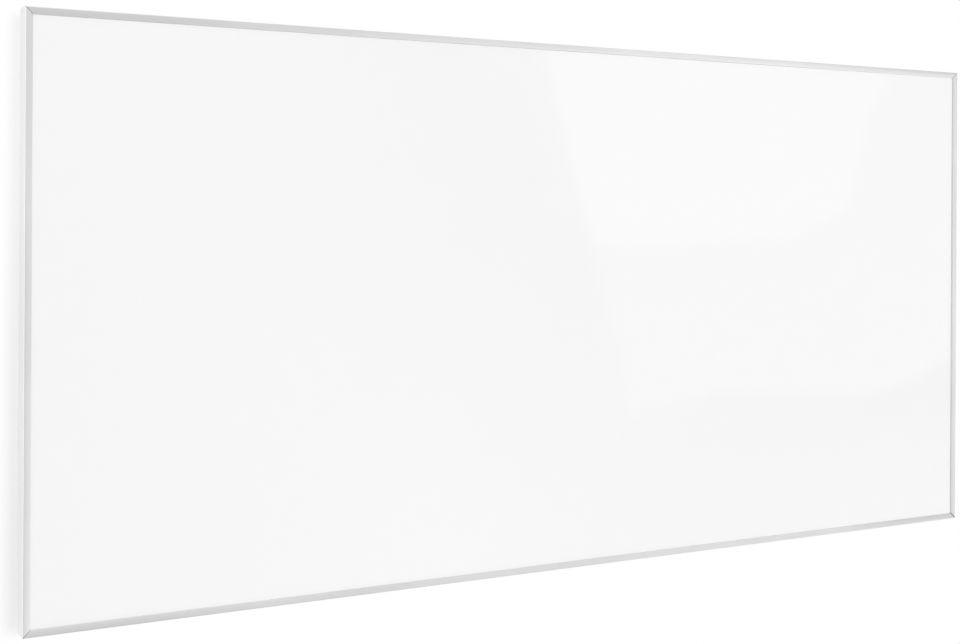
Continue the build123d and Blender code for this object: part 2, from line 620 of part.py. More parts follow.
with BuildPart() as terminal_box_lid:
    with BuildSketch(facing(BOX_RIM_GAP)):
        with Locations((BOX_X, BOX_Z)):
            RectangleRounded(BOX_WIDTH, BOX_HEIGHT, BOX_CORNER)
    extrude(amount=-BOX_LID_THICKNESS)
    lid_edge = faces().sort_by(Axis.Y)[-1].edges()
    fillet(lid_edge, BOX_LID_THICKNESS / 2)
    with BuildSketch(facing(BOX_RIM_GAP - BOX_LID_THICKNESS)):
        with Locations(boss_points):
            Circle(LID_SCREW_HEAD_RADIUS + 2 * THREAD_PLAY)
    extrude(amount=LID_SCREW_HEAD_HEIGHT, mode=Mode.SUBTRACT)
    with BuildSketch(facing(BOX_RIM_GAP)):
        with Locations(boss_points):
            Circle(LID_SCREW_RADIUS + 2 * THREAD_PLAY)
    extrude(amount=-BOX_LID_THICKNESS, mode=Mode.SUBTRACT)
write_piece(terminal_box_lid, "terminal_box_lid")

lid_screw_seat = BOX_RIM_GAP - BOX_LID_THICKNESS + LID_SCREW_HEAD_HEIGHT
terminal_lid_screws = driven_screws(boss_points, lid_screw_seat, LID_SCREW_RADIUS, LID_SCREW_LENGTH,
                                    LID_SCREW_HEAD_RADIUS, LID_SCREW_HEAD_HEIGHT)
write_piece(terminal_lid_screws, "terminal_lid_screws")

with BuildPart() as box_rivets:
    with BuildSketch(facing(BOX_FLOOR_GAP)):
        with Locations(rivet_points):
            Circle(RIVET_HEAD_RADIUS)
    extrude(amount=-RIVET_HEAD_HEIGHT)
    with BuildSketch(facing(BOX_FLOOR_GAP)):
        with Locations(rivet_points):
            Circle(RIVET_RADIUS)
    extrude(amount=BOX_FLOOR + BACK_PLATE_THICKNESS + THREAD_PLAY)
write_piece(box_rivets, "box_rivets")

# ---------------------------------------------------------------- terminal block
pole_xs = [BLOCK_X + step * POLE_PITCH for step in (-1, 0, 1)]
block_top_gap = BOX_FLOOR_GAP - BLOCK_DEPTH
clamp_screw_points = [(x, BLOCK_Z + side * CLAMP_SCREW_OFFSET) for x in pole_xs for side in (-1, 1)]
with BuildPart() as terminal_block:
    with BuildSketch(facing(BOX_FLOOR_GAP)):
        with Locations((BLOCK_X, BLOCK_Z)):
            RectangleRounded(BLOCK_WIDTH, BLOCK_HEIGHT, BLOCK_CORNER)
    extrude(amount=-BLOCK_DEPTH)
    with BuildSketch(level(BLOCK_Z - BLOCK_HEIGHT / 2)):
        with Locations([(x, -LEAD_GAP) for x in pole_xs]):
            Rectangle(CLAMP_WIDTH + 2 * THREAD_PLAY, CLAMP_DEPTH + 2 * THREAD_PLAY)
    extrude(amount=BLOCK_HEIGHT, mode=Mode.SUBTRACT)
    with BuildSketch(facing(block_top_gap)):
        with Locations(clamp_screw_points):
            Circle(CLAMP_SCREW_RADIUS + 2 * THREAD_PLAY)
    extrude(amount=LEAD_GAP - block_top_gap, mode=Mode.SUBTRACT)
    with BuildSketch(facing(BOX_FLOOR_GAP)):
        with Locations(block_screw_points):
            Circle(BLOCK_SCREW_RADIUS + THREAD_PLAY)
    extrude(amount=-BLOCK_DEPTH, mode=Mode.SUBTRACT)
write_piece(terminal_block, "terminal_block")

clamp_top_gap = LEAD_GAP - CLAMP_DEPTH / 2
with BuildPart() as terminal_clamps:
    with BuildSketch(level(BLOCK_Z - CLAMP_LENGTH / 2)):
        with Locations([(x, -LEAD_GAP) for x in pole_xs]):
            Rectangle(CLAMP_WIDTH, CLAMP_DEPTH)
            Circle(CLAMP_BORE, mode=Mode.SUBTRACT)
    extrude(amount=CLAMP_LENGTH)
    with BuildSketch(facing(clamp_top_gap)):
        with Locations(clamp_screw_points):
            Circle(CLAMP_SCREW_RADIUS + THREAD_PLAY)
    extrude(amount=CLAMP_DEPTH / 2, mode=Mode.SUBTRACT)
write_piece(terminal_clamps, "terminal_clamps")

with BuildPart() as terminal_screws:
    with BuildSketch(facing(LEAD_GAP - LEAD_RADIUS - THREAD_PLAY)):
        with Locations(clamp_screw_points):
            Circle(CLAMP_SCREW_RADIUS)
    extrude(amount=-(CLAMP_DEPTH / 2 - LEAD_RADIUS))
    with BuildSketch(facing(LEAD_GAP - CLAMP_DEPTH / 2 - THREAD_PLAY)):
        with Locations(clamp_screw_points):
            Rectangle(3 * CLAMP_SCREW_RADIUS, CROSS_RECESS_WIDTH)
    extrude(amount=CROSS_RECESS_DEPTH, mode=Mode.SUBTRACT)
write_piece(terminal_screws, "terminal_screws")

block_screws = driven_screws(block_screw_points, block_top_gap, BLOCK_SCREW_RADIUS,
                             BLOCK_DEPTH + BLOCK_SCREW_BITE, BLOCK_SCREW_HEAD_RADIUS, LID_SCREW_HEAD_HEIGHT)
write_piece(block_screws, "block_screws")

# ---------------------------------------------------------------- cable gland, bored for the cord
hex_bottom = BOX_BOTTOM - GLAND_HEX_HEIGHT
dome_bottom = hex_bottom - DOME_HEIGHT
seal_bottom = hex_bottom - GLAND_SEAL_LENGTH
inside_bottom = BOX_BOTTOM + BOX_FLOOR
with BuildPart() as gland_body:
    with BuildSketch(level(hex_bottom)):
        with Locations((GLAND_X, -ENTRY_GAP)):
            RegularPolygon(GLAND_FLATS / 2, 6, major_radius=False)
    extrude(amount=GLAND_HEX_HEIGHT)
    with BuildSketch(level(BOX_BOTTOM)):
        with Locations((GLAND_X, -ENTRY_GAP)):
            Circle(GLAND_THREAD_RADIUS)
    extrude(amount=BOX_FLOOR + LOCKNUT_HEIGHT + GLAND_THREAD_END)
    with BuildSketch(level(hex_bottom)):
        with Locations((GLAND_X, -ENTRY_GAP)):
            Circle(CABLE_BORE)
    extrude(amount=GLAND_HEX_HEIGHT + BOX_FLOOR + LOCKNUT_HEIGHT + GLAND_THREAD_END, mode=Mode.SUBTRACT)
write_piece(gland_body, "gland_body")

with BuildPart() as gland_locknut:
    with BuildSketch(level(inside_bottom)):
        with Locations((GLAND_X, -ENTRY_GAP)):
            RegularPolygon(LOCKNUT_FLATS / 2, 6, major_radius=False)
            Circle(GLAND_THREAD_RADIUS + THREAD_PLAY, mode=Mode.SUBTRACT)
    extrude(amount=LOCKNUT_HEIGHT)
write_piece(gland_locknut, "gland_locknut")

with BuildPart() as gland_seal:
    with BuildSketch(level(seal_bottom)):
        with Locations((GLAND_X, -ENTRY_GAP)):
            Circle(GLAND_SEAL_RADIUS)
            Circle(CABLE_BORE, mode=Mode.SUBTRACT)
    extrude(amount=GLAND_SEAL_LENGTH)
write_piece(gland_seal, "gland_seal")

with BuildPart() as gland_dome_nut:
    with BuildSketch(level(dome_bottom)):
        with Locations((GLAND_X, -ENTRY_GAP)):
            Circle(DOME_RADIUS)
    extrude(amount=DOME_HEIGHT)
    fillet(edges().filter_by(GeomType.CIRCLE).group_by(Axis.Z)[0], DOME_ROUND)
    with BuildSketch(level(seal_bottom)):
        with Locations((GLAND_X, -ENTRY_GAP)):
            Circle(GLAND_SEAL_RADIUS + THREAD_PLAY)
    extrude(amount=GLAND_SEAL_LENGTH, mode=Mode.SUBTRACT)
    with BuildSketch(level(dome_bottom)):
        with Locations((GLAND_X, -ENTRY_GAP)):
            Circle(CABLE_BORE)
    extrude(amount=DOME_HEIGHT - GLAND_SEAL_LENGTH, mode=Mode.SUBTRACT)
write_piece(gland_dome_nut, "gland_dome_nut")

# ---------------------------------------------------------------- rocker switch: housing, contacts and rocker
contact_xs = [SWITCH_X + side * CONTACT_SPREAD for side in (-1, 1)]
contact_foot = BOX_BOTTOM + SWITCH_BODY_HEIGHT - SWITCH_ROOF
with BuildPart() as switch_housing:
    with BuildSketch(level(BOX_BOTTOM)):
        with Locations((SWITCH_X, -ENTRY_GAP)):
            RectangleRounded(SWITCH_FACE_X, SWITCH_FACE_Y, SWITCH_FACE_CORNER)
    extrude(amount=-SWITCH_FACE_HEIGHT)
    fillet(faces().sort_by(Axis.Z)[0].edges(), SWITCH_FACE_ROUND)
    with BuildSketch(level(BOX_BOTTOM)):
        with Locations((SWITCH_X, -ENTRY_GAP)):
            Rectangle(SWITCH_BODY_X, SWITCH_BODY_Y)
    extrude(amount=SWITCH_BODY_HEIGHT)
    with BuildSketch(level(BOX_BOTTOM - SWITCH_FACE_HEIGHT)):
        with Locations((SWITCH_X, -ENTRY_GAP)):
            Rectangle(SWITCH_WINDOW_X, SWITCH_WINDOW_Y)
    extrude(amount=SWITCH_FACE_HEIGHT + SWITCH_BODY_HEIGHT - SWITCH_ROOF, mode=Mode.SUBTRACT)
    with BuildSketch(level(contact_foot)):
        with Locations([(x, -ENTRY_GAP) for x in contact_xs]):
            Rectangle(TAB_THICKNESS + 2 * THREAD_PLAY, CONTACT_WIDTH + 2 * THREAD_PLAY)
    extrude(amount=SWITCH_ROOF, mode=Mode.SUBTRACT)
    with BuildSketch(facing(ENTRY_GAP + SWITCH_BODY_Y / 2)):
        with Locations((SWITCH_X, PIVOT_Z)):
            Circle(ROCKER_PIN_RADIUS + THREAD_PLAY)
    extrude(amount=-SWITCH_BODY_Y, mode=Mode.SUBTRACT)
write_piece(switch_housing, "switch_housing")

with BuildPart() as switch_contacts:
    with BuildSketch(level(contact_foot - CONTACT_INSIDE)):
        with Locations([(x, -ENTRY_GAP) for x in contact_xs]):
            Rectangle(TAB_THICKNESS, CONTACT_WIDTH)
    extrude(amount=CONTACT_LENGTH)
write_piece(switch_contacts, "switch_contacts")

rocker_plane = Plane(
    origin=(SWITCH_X, -ENTRY_GAP, PIVOT_Z), x_dir=RIGHT.rotate(Axis.Y, ROCKER_TILT), z_dir=-TO_WALL
)
with BuildPart() as switch_rocker:
    with BuildSketch(rocker_plane):
        with BuildLine():
            Polyline(
                (-ROCKER_HALF_LENGTH, ROCKER_SHOULDER),
                (-ROCKER_HALF_LENGTH, -ROCKER_TIP),
                (0, -ROCKER_DISH),
                (ROCKER_HALF_LENGTH, -ROCKER_TIP),
                (ROCKER_HALF_LENGTH, ROCKER_SHOULDER),
                (0, ROCKER_BACK),
                close=True,
            )
        make_face()
    extrude(amount=ROCKER_WIDTH / 2, both=True)
    with BuildSketch(rocker_plane):
        Circle(ROCKER_PIN_RADIUS)
    extrude(amount=ROCKER_PIN_REACH, both=True)
write_piece(switch_rocker, "switch_rocker")

# ---------------------------------------------------------------- thermal cut-out in the lead channel
cutout_body_gap = BOARD_GAP - CUTOUT_FLANGE_THICKNESS
cutout_top_gap = cutout_body_gap - CUTOUT_HEIGHT
tab_xs = [CUTOUT_X + side * CUTOUT_TAB_SPREAD for side in (-1, 1)]
with BuildPart() as thermal_cutout:
    with BuildSketch(facing(BOARD_GAP)):
        with Locations((CUTOUT_X, GROMMET_Z)):
            Circle(CUTOUT_FLANGE_RADIUS)
    extrude(amount=-CUTOUT_FLANGE_THICKNESS)
    with BuildSketch(facing(cutout_body_gap)):
        with Locations((CUTOUT_X, GROMMET_Z)):
            Circle(CUTOUT_RADIUS)
    extrude(amount=-CUTOUT_HEIGHT)
write_piece(thermal_cutout, "thermal_cutout")

with BuildPart() as cutout_terminals:
    with BuildSketch(facing(cutout_top_gap)):
        with Locations([(x, GROMMET_Z) for x in tab_xs]):
            Rectangle(TAB_THICKNESS, 3 * LEAD_SPREAD)
    extrude(amount=-CUTOUT_TAB_HEIGHT)
write_piece(cutout_terminals, "cutout_terminals")

# ---------------------------------------------------------------- grommet, earth connection and leads
with BuildPart() as plate_grommet:
    with BuildSketch(facing(PLATE_BACK_GAP)):
        with Locations((GROMMET_X, GROMMET_Z)):
            Circle(GROMMET_RADIUS)
    extrude(amount=-GROMMET_LENGTH / 2)
    with BuildSketch(facing(PLATE_FRONT_GAP)):
        with Locations((GROMMET_X, GROMMET_Z)):
            Circle(GROMMET_NECK - THREAD_PLAY)
    extrude(amount=-BACK_PLATE_THICKNESS)
    with BuildSketch(facing(PLATE_FRONT_GAP)):
        with Locations((GROMMET_X, GROMMET_Z)):
            Circle(GROMMET_RADIUS)
    extrude(amount=GROMMET_LENGTH / 2)
    with BuildSketch(facing(PLATE_FRONT_GAP + GROMMET_LENGTH / 2)):
        with Locations((GROMMET_X, GROMMET_Z)):
            Circle(GROMMET_BORE)
    extrude(amount=-(GROMMET_LENGTH + BACK_PLATE_THICKNESS), mode=Mode.SUBTRACT)
write_piece(plate_grommet, "plate_grommet")

lug_gap = PLATE_BACK_GAP
barrel_gap = lug_gap - LUG_BARREL_RADIUS
barrel_foot = EARTH_Z + LUG_RADIUS
with BuildPart() as earth_lug:
    with BuildSketch(facing(lug_gap)):
        with Locations((EARTH_X, EARTH_Z)):
            Circle(LUG_RADIUS)
        with Locations((EARTH_X, EARTH_Z + LUG_RADIUS / 2)):
            Rectangle(2 * LUG_BARREL_RADIUS, LUG_RADIUS)
        with Locations((EARTH_X, EARTH_Z)):
            Circle(M4_CLEARANCE_RADIUS, mode=Mode.SUBTRACT)
    extrude(amount=-LUG_THICKNESS)
    with BuildSketch(level(barrel_foot)):
        with Locations((EARTH_X, -barrel_gap)):
            Circle(LUG_BARREL_RADIUS)
            Circle(LEAD_RADIUS + THREAD_PLAY, mode=Mode.SUBTRACT)
    extrude(amount=LUG_RADIUS)
write_piece(earth_lug, "earth_lug")

earth_screw = driven_screws([(EARTH_X, EARTH_Z)], lug_gap - LUG_THICKNESS, M4_RADIUS, M4_LENGTH,
                            M4_HEAD_RADIUS, M4_HEAD_HEIGHT)
write_piece(earth_screw, "earth_screw")

with BuildPart() as earth_nut:
    with BuildSketch(facing(PLATE_FRONT_GAP)):
        with Locations((EARTH_X, EARTH_Z)):
            RegularPolygon(M4_NUT_FLATS / 2, 6, major_radius=False)
            Circle(M4_RADIUS + THREAD_PLAY, mode=Mode.SUBTRACT)
    extrude(amount=M4_NUT_HEIGHT)
write_piece(earth_nut, "earth_nut")

clamp_mouth = BLOCK_Z - CLAMP_SCREW_OFFSET
contact_tip = contact_foot - CONTACT_INSIDE + CONTACT_LENGTH
out_z = GROMMET_Z - LEAD_SPREAD
back_z = GROMMET_Z + LEAD_SPREAD
tab_outer = CUTOUT_TAB_SPREAD + TAB_THICKNESS / 2
live_z = BLOCK_Z + BLOCK_HEIGHT / 2 + 2 * LEAD_BEND
earth_z = EARTH_Z + 4 * LUG_BARREL_RADIUS + 2 * LEAD_BEND
lead_routes = {
    "lead_live": [
        (pole_xs[0], -LEAD_GAP, clamp_mouth),
        (pole_xs[0], -LEAD_GAP, live_z),
        (contact_xs[1], -ENTRY_GAP, live_z),
        (contact_xs[1], -ENTRY_GAP, contact_tip),
    ],
    "lead_switched": [
        (contact_xs[0], -ENTRY_GAP, contact_tip),
        (contact_xs[0], -ENTRY_GAP, out_z),
        (GROMMET_X + LEAD_SPREAD, -ENTRY_GAP, out_z),
        (GROMMET_X + LEAD_SPREAD, -CHANNEL_LEAD_GAP, out_z),
        (CUTOUT_X - tab_outer, -CHANNEL_LEAD_GAP, out_z),
    ],
    "lead_heater": [
        (CUTOUT_X + tab_outer, -CHANNEL_LEAD_GAP, out_z),
        (BUSBAR_X, -CHANNEL_LEAD_GAP, out_z),
        (BUSBAR_X, -INSULATING_SHEET_GAP, out_z),
    ],
    "lead_neutral": [
        (pole_xs[1], -LEAD_GAP, clamp_mouth),
        (pole_xs[1], -LEAD_GAP, back_z),
        (GROMMET_X - LEAD_SPREAD, -LEAD_GAP, back_z),
        (GROMMET_X - LEAD_SPREAD, -CHANNEL_LEAD_GAP, back_z),
        (-BUSBAR_X, -CHANNEL_LEAD_GAP, back_z),
        (-BUSBAR_X, -INSULATING_SHEET_GAP, back_z),
    ],
    "lead_earth": [
        (pole_xs[2], -LEAD_GAP, clamp_mouth),
        (pole_xs[2], -LEAD_GAP, earth_z),
        (EARTH_X, -barrel_gap, earth_z),
        (EARTH_X, -barrel_gap, barrel_foot + LUG_THICKNESS),
    ],
}
for lead_name, route in lead_routes.items():
    with BuildPart() as lead:
        with BuildLine() as path:
            FilletPolyline(*route, radius=LEAD_BEND)
        with BuildSketch(Plane(origin=path.line @ 0, z_dir=path.line % 0)):
            Circle(LEAD_RADIUS)
        sweep(path=path.line)
    write_piece(lead, lead_name)
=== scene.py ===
"""Looks of the infrared panel heater: its finishes, its small hardware and the studio that it hangs in.

Everything is in metres in the CAD's frame: +X to the right seen from the front, +Y into the wall, +Z up.
"""

import functools
import logging
import math
from collections.abc import Iterable, Sequence
from dataclasses import dataclass
from enum import Enum
from typing import ClassVar

import bmesh
import bpy
from mathutils import Matrix, Vector


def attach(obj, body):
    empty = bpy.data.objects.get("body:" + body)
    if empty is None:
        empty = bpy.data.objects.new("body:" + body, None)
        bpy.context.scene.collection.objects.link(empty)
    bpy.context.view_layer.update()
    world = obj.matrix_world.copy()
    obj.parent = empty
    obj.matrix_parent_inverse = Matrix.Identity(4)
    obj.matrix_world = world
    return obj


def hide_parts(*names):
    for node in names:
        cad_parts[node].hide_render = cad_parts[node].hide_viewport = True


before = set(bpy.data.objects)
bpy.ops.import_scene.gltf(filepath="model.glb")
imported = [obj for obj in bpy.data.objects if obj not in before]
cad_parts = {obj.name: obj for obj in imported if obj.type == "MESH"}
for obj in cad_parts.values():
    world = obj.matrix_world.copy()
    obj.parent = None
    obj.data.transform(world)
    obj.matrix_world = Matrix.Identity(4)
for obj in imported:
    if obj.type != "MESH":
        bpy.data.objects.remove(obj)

MM = 0.001
WHITE = (1.0, 1.0, 1.0, 1.0)
NOISE_MIDDLE = (0.3, 0.7)
MERGE_DISTANCE = 2e-6
PANEL_FACE = -44.4 * MM
LOG = logging.getLogger("heater")

Pair = tuple[float, float]
Triple = tuple[float, float, float]
Colour = Triple
Size = float | int | Triple
Node = bpy.types.Node
Piece = bpy.types.Object
Shape = bmesh.types.BMesh
Socket = bpy.types.NodeSocket


class Body(str, Enum):
    """The CAD bodies that new pieces move with."""

    HEATER = "heater"
    ROCKER = "rocker"


class Axis(Enum):
    """The way that drawing, rolling or folding left its fine lines on a metal."""

    X = 0
    Z = 2


# ---- nodes
class NodeTree:
    """A node tree while it is being laid out."""

    def __init__(self, tree: bpy.types.NodeTree) -> None:
        """Starts on Blender's own tree."""
        self.tree = tree

    def feed(self, target: Socket, value: object) -> None:
        """Gives an input what it takes.

        Args:
            target: the input.
            value: the socket to link it to, or else its constant.
        """
        if isinstance(value, Socket):
            self.tree.links.new(value, target)
        else:
            target.default_value = value

    def node(self, kind: str, inputs: dict[str | int, object] | None = None, **settings: object) -> Node:
        """Adds a node and feeds it.

        Args:
            kind: Blender's name of the node's type.
            inputs: what each input gets, by its name or number: a socket, a list of sockets or a constant.
            settings: the node's own properties.

        Returns:
            The new node.
        """
        made = self.tree.nodes.new(kind)
        for name, value in settings.items():
            setattr(made, name, value)
        for name, value in (inputs or {}).items():
            for one in value if isinstance(value, list) else [value]:
                self.feed(made.inputs[name], one)
        return made

    def calc(self, operation: str, *values: object) -> Socket:
        """One number worked out from sockets or numbers."""
        return self.node("ShaderNodeMath", dict(enumerate(values)), operation=operation).outputs[0]

    def product(self, *values: object) -> Socket:
        """The product of sockets and numbers."""
        return functools.reduce(functools.partial(self.calc, "MULTIPLY"), values)

    def parts(self, vector: Socket) -> list[Socket]:
        """A vector's X, Y and Z."""
        return list(self.node("ShaderNodeSeparateXYZ", {0: vector}).outputs)

    def mixed(self, factor: Socket, first: object, second: object) -> Socket:
        """A number between two others, the first where the factor is 0."""
        return self.node(
            "ShaderNodeMix", {"Factor": factor, "A": first, "B": second}, data_type="FLOAT").outputs["Result"]

    def ramp(self, value: Socket, ends: Pair, span: Pair = (0.0, 1.0), curve: str = "SMOOTHSTEP") -> Socket:
        """A number that goes from one end of a span to the other as a value goes between two ends of its own."""
        inputs = {"Value": value, "From Min": ends[0], "From Max": ends[1], "To Min": span[0], "To Max": span[1]}
        return self.node("ShaderNodeMapRange", inputs, interpolation_type=curve).outputs["Result"]


class Paint(NodeTree):
    """One material while its nodes are being laid out."""

    def __init__(self, name: str) -> None:
        """Starts a material that holds only a shader and its output.

        Args:
            name: the material's name.
        """
        self.material = bpy.data.materials.new(name)
        self.material.use_nodes = True
        super().__init__(self.material.node_tree)
        self.tree.nodes.clear()
        self.shader = self.node("ShaderNodeBsdfPrincipled")
        self.output = self.node("ShaderNodeOutputMaterial", {"Surface": self.shader.outputs[0]})

    def here(self) -> Socket:
        """Object coordinates."""
        return self.node("ShaderNodeTexCoord").outputs["Object"]

    def place(self, scale: float | Triple) -> Socket:
        """Object coordinates in pattern units, so many to a metre all round or along X, Y and Z."""
        scales = scale if isinstance(scale, tuple) else (scale,) * 3
        return self.node("ShaderNodeMapping", {"Vector": self.here(), "Scale": scales}).outputs["Vector"]

    def noise(self, scale: float | Triple, detail: float = 2.0) -> Socket:
        """Smooth noise around 0.5, with so many finer layers."""
        inputs = {"Vector": self.place(scale), "Scale": 1.0, "Detail": detail}
        return self.node("ShaderNodeTexNoise", inputs).outputs["Fac"]

    def bands(self, pitch: float, way: str, **inputs: float) -> Socket:
        """Even bands that follow each other along X, Y, Z or DIAGONAL."""
        inputs["Vector"] = self.place(pitch)
        return self.node("ShaderNodeTexWave", inputs, wave_type="BANDS", bands_direction=way).outputs["Fac"]

    def spread(self, value: Socket, low: float = 0.0, high: float = 1.0) -> Socket:
        """Stretches the middle of a noise over a range."""
        return self.ramp(value, NOISE_MIDDLE, (low, high), "LINEAR")

    def between(self, factor: Socket, first: object, second: object) -> Socket:
        """A colour between two others.

        Args:
            factor: 0 gives the first and 1 the second.
            first: one colour, or a socket that gives it.
            second: the other.

        Returns:
            The mixed colour.
        """
        made = self.node("ShaderNodeMix", {"Factor": factor}, data_type="RGBA")
        for socket, colour in zip((s for s in made.inputs if s.type == "RGBA"), (first, second)):
            self.feed(socket, (*colour, 1.0) if isinstance(colour, tuple) else colour)
        return next(s for s in made.outputs if s.type == "RGBA")

    def coat(self, colour: Socket, roughness: Socket, *relief: tuple[Socket, float], **more: float) -> None:
        """Sets the shader.

        Args:
            colour: the surface's colour.
            roughness: its roughness.
            relief: a height's pattern and how deep it is in metres, for each layer from the coarsest.
            more: the shader's other numbers.
        """
        layer = {}
        for height, depth in relief:
            made = self.node("ShaderNodeBump", {"Distance": depth, "Height": height, **layer})
            layer = {"Normal": made.outputs["Normal"]}
        for name, value in {"Base Color": colour, "Roughness": roughness, **layer, **more}.items():
            self.feed(self.shader.inputs[name], value)

    def one_of(self, factor: Socket, first: Socket, second: Socket) -> Socket:
        """A shader between two others, the first where the factor is 0."""
        return self.node("ShaderNodeMixShader", {0: factor, 1: first, 2: second}).outputs[0]

    def clear(self) -> Socket:
        """A shader that is seen through."""
        return self.node("ShaderNodeBsdfTransparent").outputs[0]

    def show(self, shader: Socket) -> None:
        """Shows another shader than the material started with."""
        self.feed(self.output.inputs["Surface"], shader)


# ---- finishes
def shade(colour: Colour, change: float) -> Colour:
    """A colour made lighter or darker by a share of itself."""
    return tuple(min(1.0, channel * (1.0 + change)) for channel in colour)


@functools.cache
def material_of(finish: "Finish") -> bpy.types.Material:
    """The one material of a finish, made when it is first asked for.

    Args:
        finish: the finish.

    Returns:
        Its material.
    """
    paint = Paint(finish.name)
    finish.lay(paint)
    return paint.material


@dataclass(frozen=True)
class Finish:
    """A surface: the record's slot it belongs to, its colour, and how rough it is.

    The roughness goes from one share of itself to another with the surface's pattern.
    """

    slot: str
    colour: Colour
    roughness: float
    shares: Pair = (0.85, 1.15)

    @property
    def name(self) -> str:
        """The material's name."""
        return self.slot

    def shades(self, darker: float, lighter: float) -> tuple[Colour, Colour]:
        """The colour made darker by a share of itself, and made lighter."""
        return shade(self.colour, -darker), shade(self.colour, lighter)

    def gloss(self, paint: Paint, pattern: Socket) -> Socket:
        """The roughness, moved by a pattern."""
        return paint.spread(pattern, *(self.roughness * share for share in self.shares))

    def lay(self, paint: Paint) -> None:
        """Lays the finish's nodes. Each kind of finish has its own."""
        raise NotImplementedError


@dataclass(frozen=True)
class Enamel(Finish):
    """Gloss enamel baked on sheet steel: almost flat, with the faint waves of the sheet and a fine peel."""

    drift: float = 1.3
    haze: float = 3.0
    wave: float = 2.6
    wave_depth: float = 0.00012
    peel: float = 330.0
    peel_depth: float = 0.0000006
    tone: float = 0.004
    ior: float = 1.6

    def lay(self, paint: Paint) -> None:
        """Lays the white, its faint unevenness and the two reliefs.

        Args:
            paint: the material.
        """
        relief = (paint.noise(self.wave, 0.0), self.wave_depth), (paint.noise(self.peel, 1.0), self.peel_depth)
        colour = paint.between(paint.noise(self.drift, 1.0), *self.shades(self.tone, self.tone))
        paint.coat(colour, self.gloss(paint, paint.noise(self.haze)), *relief, IOR=self.ior)


@dataclass(frozen=True)
class Metal(Finish):
    """A metal with fine lines along one axis, a cloudy tone and a slight bloom."""

    lines: Axis | None = None
    pitch: float = 1500.0
    run: float = 7.0
    depth: float = 0.000004
    tone: float = 0.03
    bloom: Colour | None = None
    cloud: float = 9.0
    shares: Pair = (0.85, 1.2)

    @property
    def name(self) -> str:
        """The material's name, with the axis of its lines."""
        return f"{self.slot}_{self.lines.name.lower()}" if self.lines else self.slot

    def lay(self, paint: Paint) -> None:
        """Lays the lines, which also drive the gloss, and the clouds of tone.

        Args:
            paint: the material.
        """
        scale = [self.pitch] * 3
        if self.lines:
            scale[self.lines.value] = self.run
        grain = paint.noise(tuple(scale), 3.0)
        darker, lighter = self.shades(self.tone, self.tone)
        colour = paint.between(paint.spread(paint.noise(self.cloud, 3.0)), darker, self.bloom or lighter)
        paint.coat(colour, self.gloss(paint, grain), (grain, self.depth), Metallic=1.0)


@dataclass(frozen=True)
class DrawnBar(Metal):
    """The frame's metal, with a painted highlight along its upright front arrises and painted shade, near black,
    inside the one open mitre.
    """

    # painted shade: near-black colour laid on the cut faces inside the open mitre gap
    mitre_shade: Colour = (0.02, 0.02, 0.02)
    # painted highlight: near-white colour laid along the upright bars' front arrises
    painted_highlight: Colour = (0.95, 0.95, 0.95)
    half_gap: float = 0.47 * MM
    corner: float = 300.0 * MM
    side: float = 599.4 * MM
    front: float = -46.4 * MM

    def lay(self, paint: Paint) -> None:
        """Lays the metal, then paints a highlight on the upright arrises and paints shade into the open mitre,
        lower right.

        Args:
            paint: the material.
        """
        super().lay(paint)
        x, y, z = paint.parts(paint.here())
        # painted highlight: mask of the left and right bars' front arrises
        arris = paint.product(
            paint.calc("GREATER_THAN", paint.calc("ABSOLUTE", x), self.side),
            paint.calc("LESS_THAN", y, self.front),
        )
        # painted shade: mask of the open lower-right mitre's faces, inside its gap
        off = paint.calc("ABSOLUTE", paint.calc("SUBTRACT", paint.calc("ADD", x, z), self.corner))
        mitre = paint.product(
            paint.calc("LESS_THAN", off, self.half_gap * math.sqrt(2.0)),
            paint.calc("LESS_THAN", z, 0.0),
        )
        base = paint.shader.inputs["Base Color"]
        bright = paint.between(arris, base.links[0].from_socket, self.painted_highlight)
        paint.feed(base, paint.between(mitre, bright, self.mitre_shade))


@dataclass(frozen=True)
class Foil(Finish):
    """Bright foil with creases, painted darker where the creases sink as painted shade."""

    crease: float = 55.0
    depth: float = 0.0004
    # how much darker the crease hollows are painted, as painted shade
    tone: float = 0.06
    shares: Pair = (0.7, 1.4)

    def lay(self, paint: Paint) -> None:
        """Lays the bright metal and its creases, with painted shade in their hollows.

        Args:
            paint: the material.
        """
        creases = paint.noise(self.crease, 4.0)
        # painted shade: the foil's colour darkens where the crease pattern is low, in the creases' hollows
        colour = paint.between(creases, *self.shades(self.tone, 0.0))
        paint.coat(colour, self.gloss(paint, creases), (creases, self.depth), Metallic=1.0)


@dataclass(frozen=True)
class Moulded(Finish):
    """Moulded plastic or rubber with a fine texture from the mould."""

    flow: float = 24.0
    texture: float = 1300.0
    depth: float = 0.00001
    tone: float = 0.02
    ior: float = 1.5

    def lay(self, paint: Paint) -> None:
        """Lays the colour's slow change and the mould's texture.

        Args:
            paint: the material.
        """
        slow, fine = paint.spread(paint.noise(self.flow)), paint.noise(self.texture)
        colour = paint.between(slow, *self.shades(self.tone, self.tone))
        paint.coat(colour, self.gloss(paint, fine), (fine, self.depth), IOR=self.ior)


@dataclass(frozen=True)
class Fibre(Finish):
    """Pressed fibre board: flecks, and a soft uneven face."""

    fleck: Triple = (420.0, 420.0, 105.0)
    fleck_depth: float = 0.0004
    patch: float = 14.0
    patch_depth: float = 0.0008
    tones: Pair = (0.18, 0.06)
    shares: Pair = (0.9, 1.0 / 0.95)

    def lay(self, paint: Paint) -> None:
        """Lays the flecks over broad patches.

        Args:
            paint: the material.
        """
        flecks, patches = paint.noise(self.fleck, 4.0), paint.noise(self.patch, 3.0)
        colour = paint.between(paint.spread(flecks), *self.shades(*self.tones))
        paint.coat(colour, self.gloss(paint, patches), (patches, self.patch_depth), (flecks, self.fleck_depth))


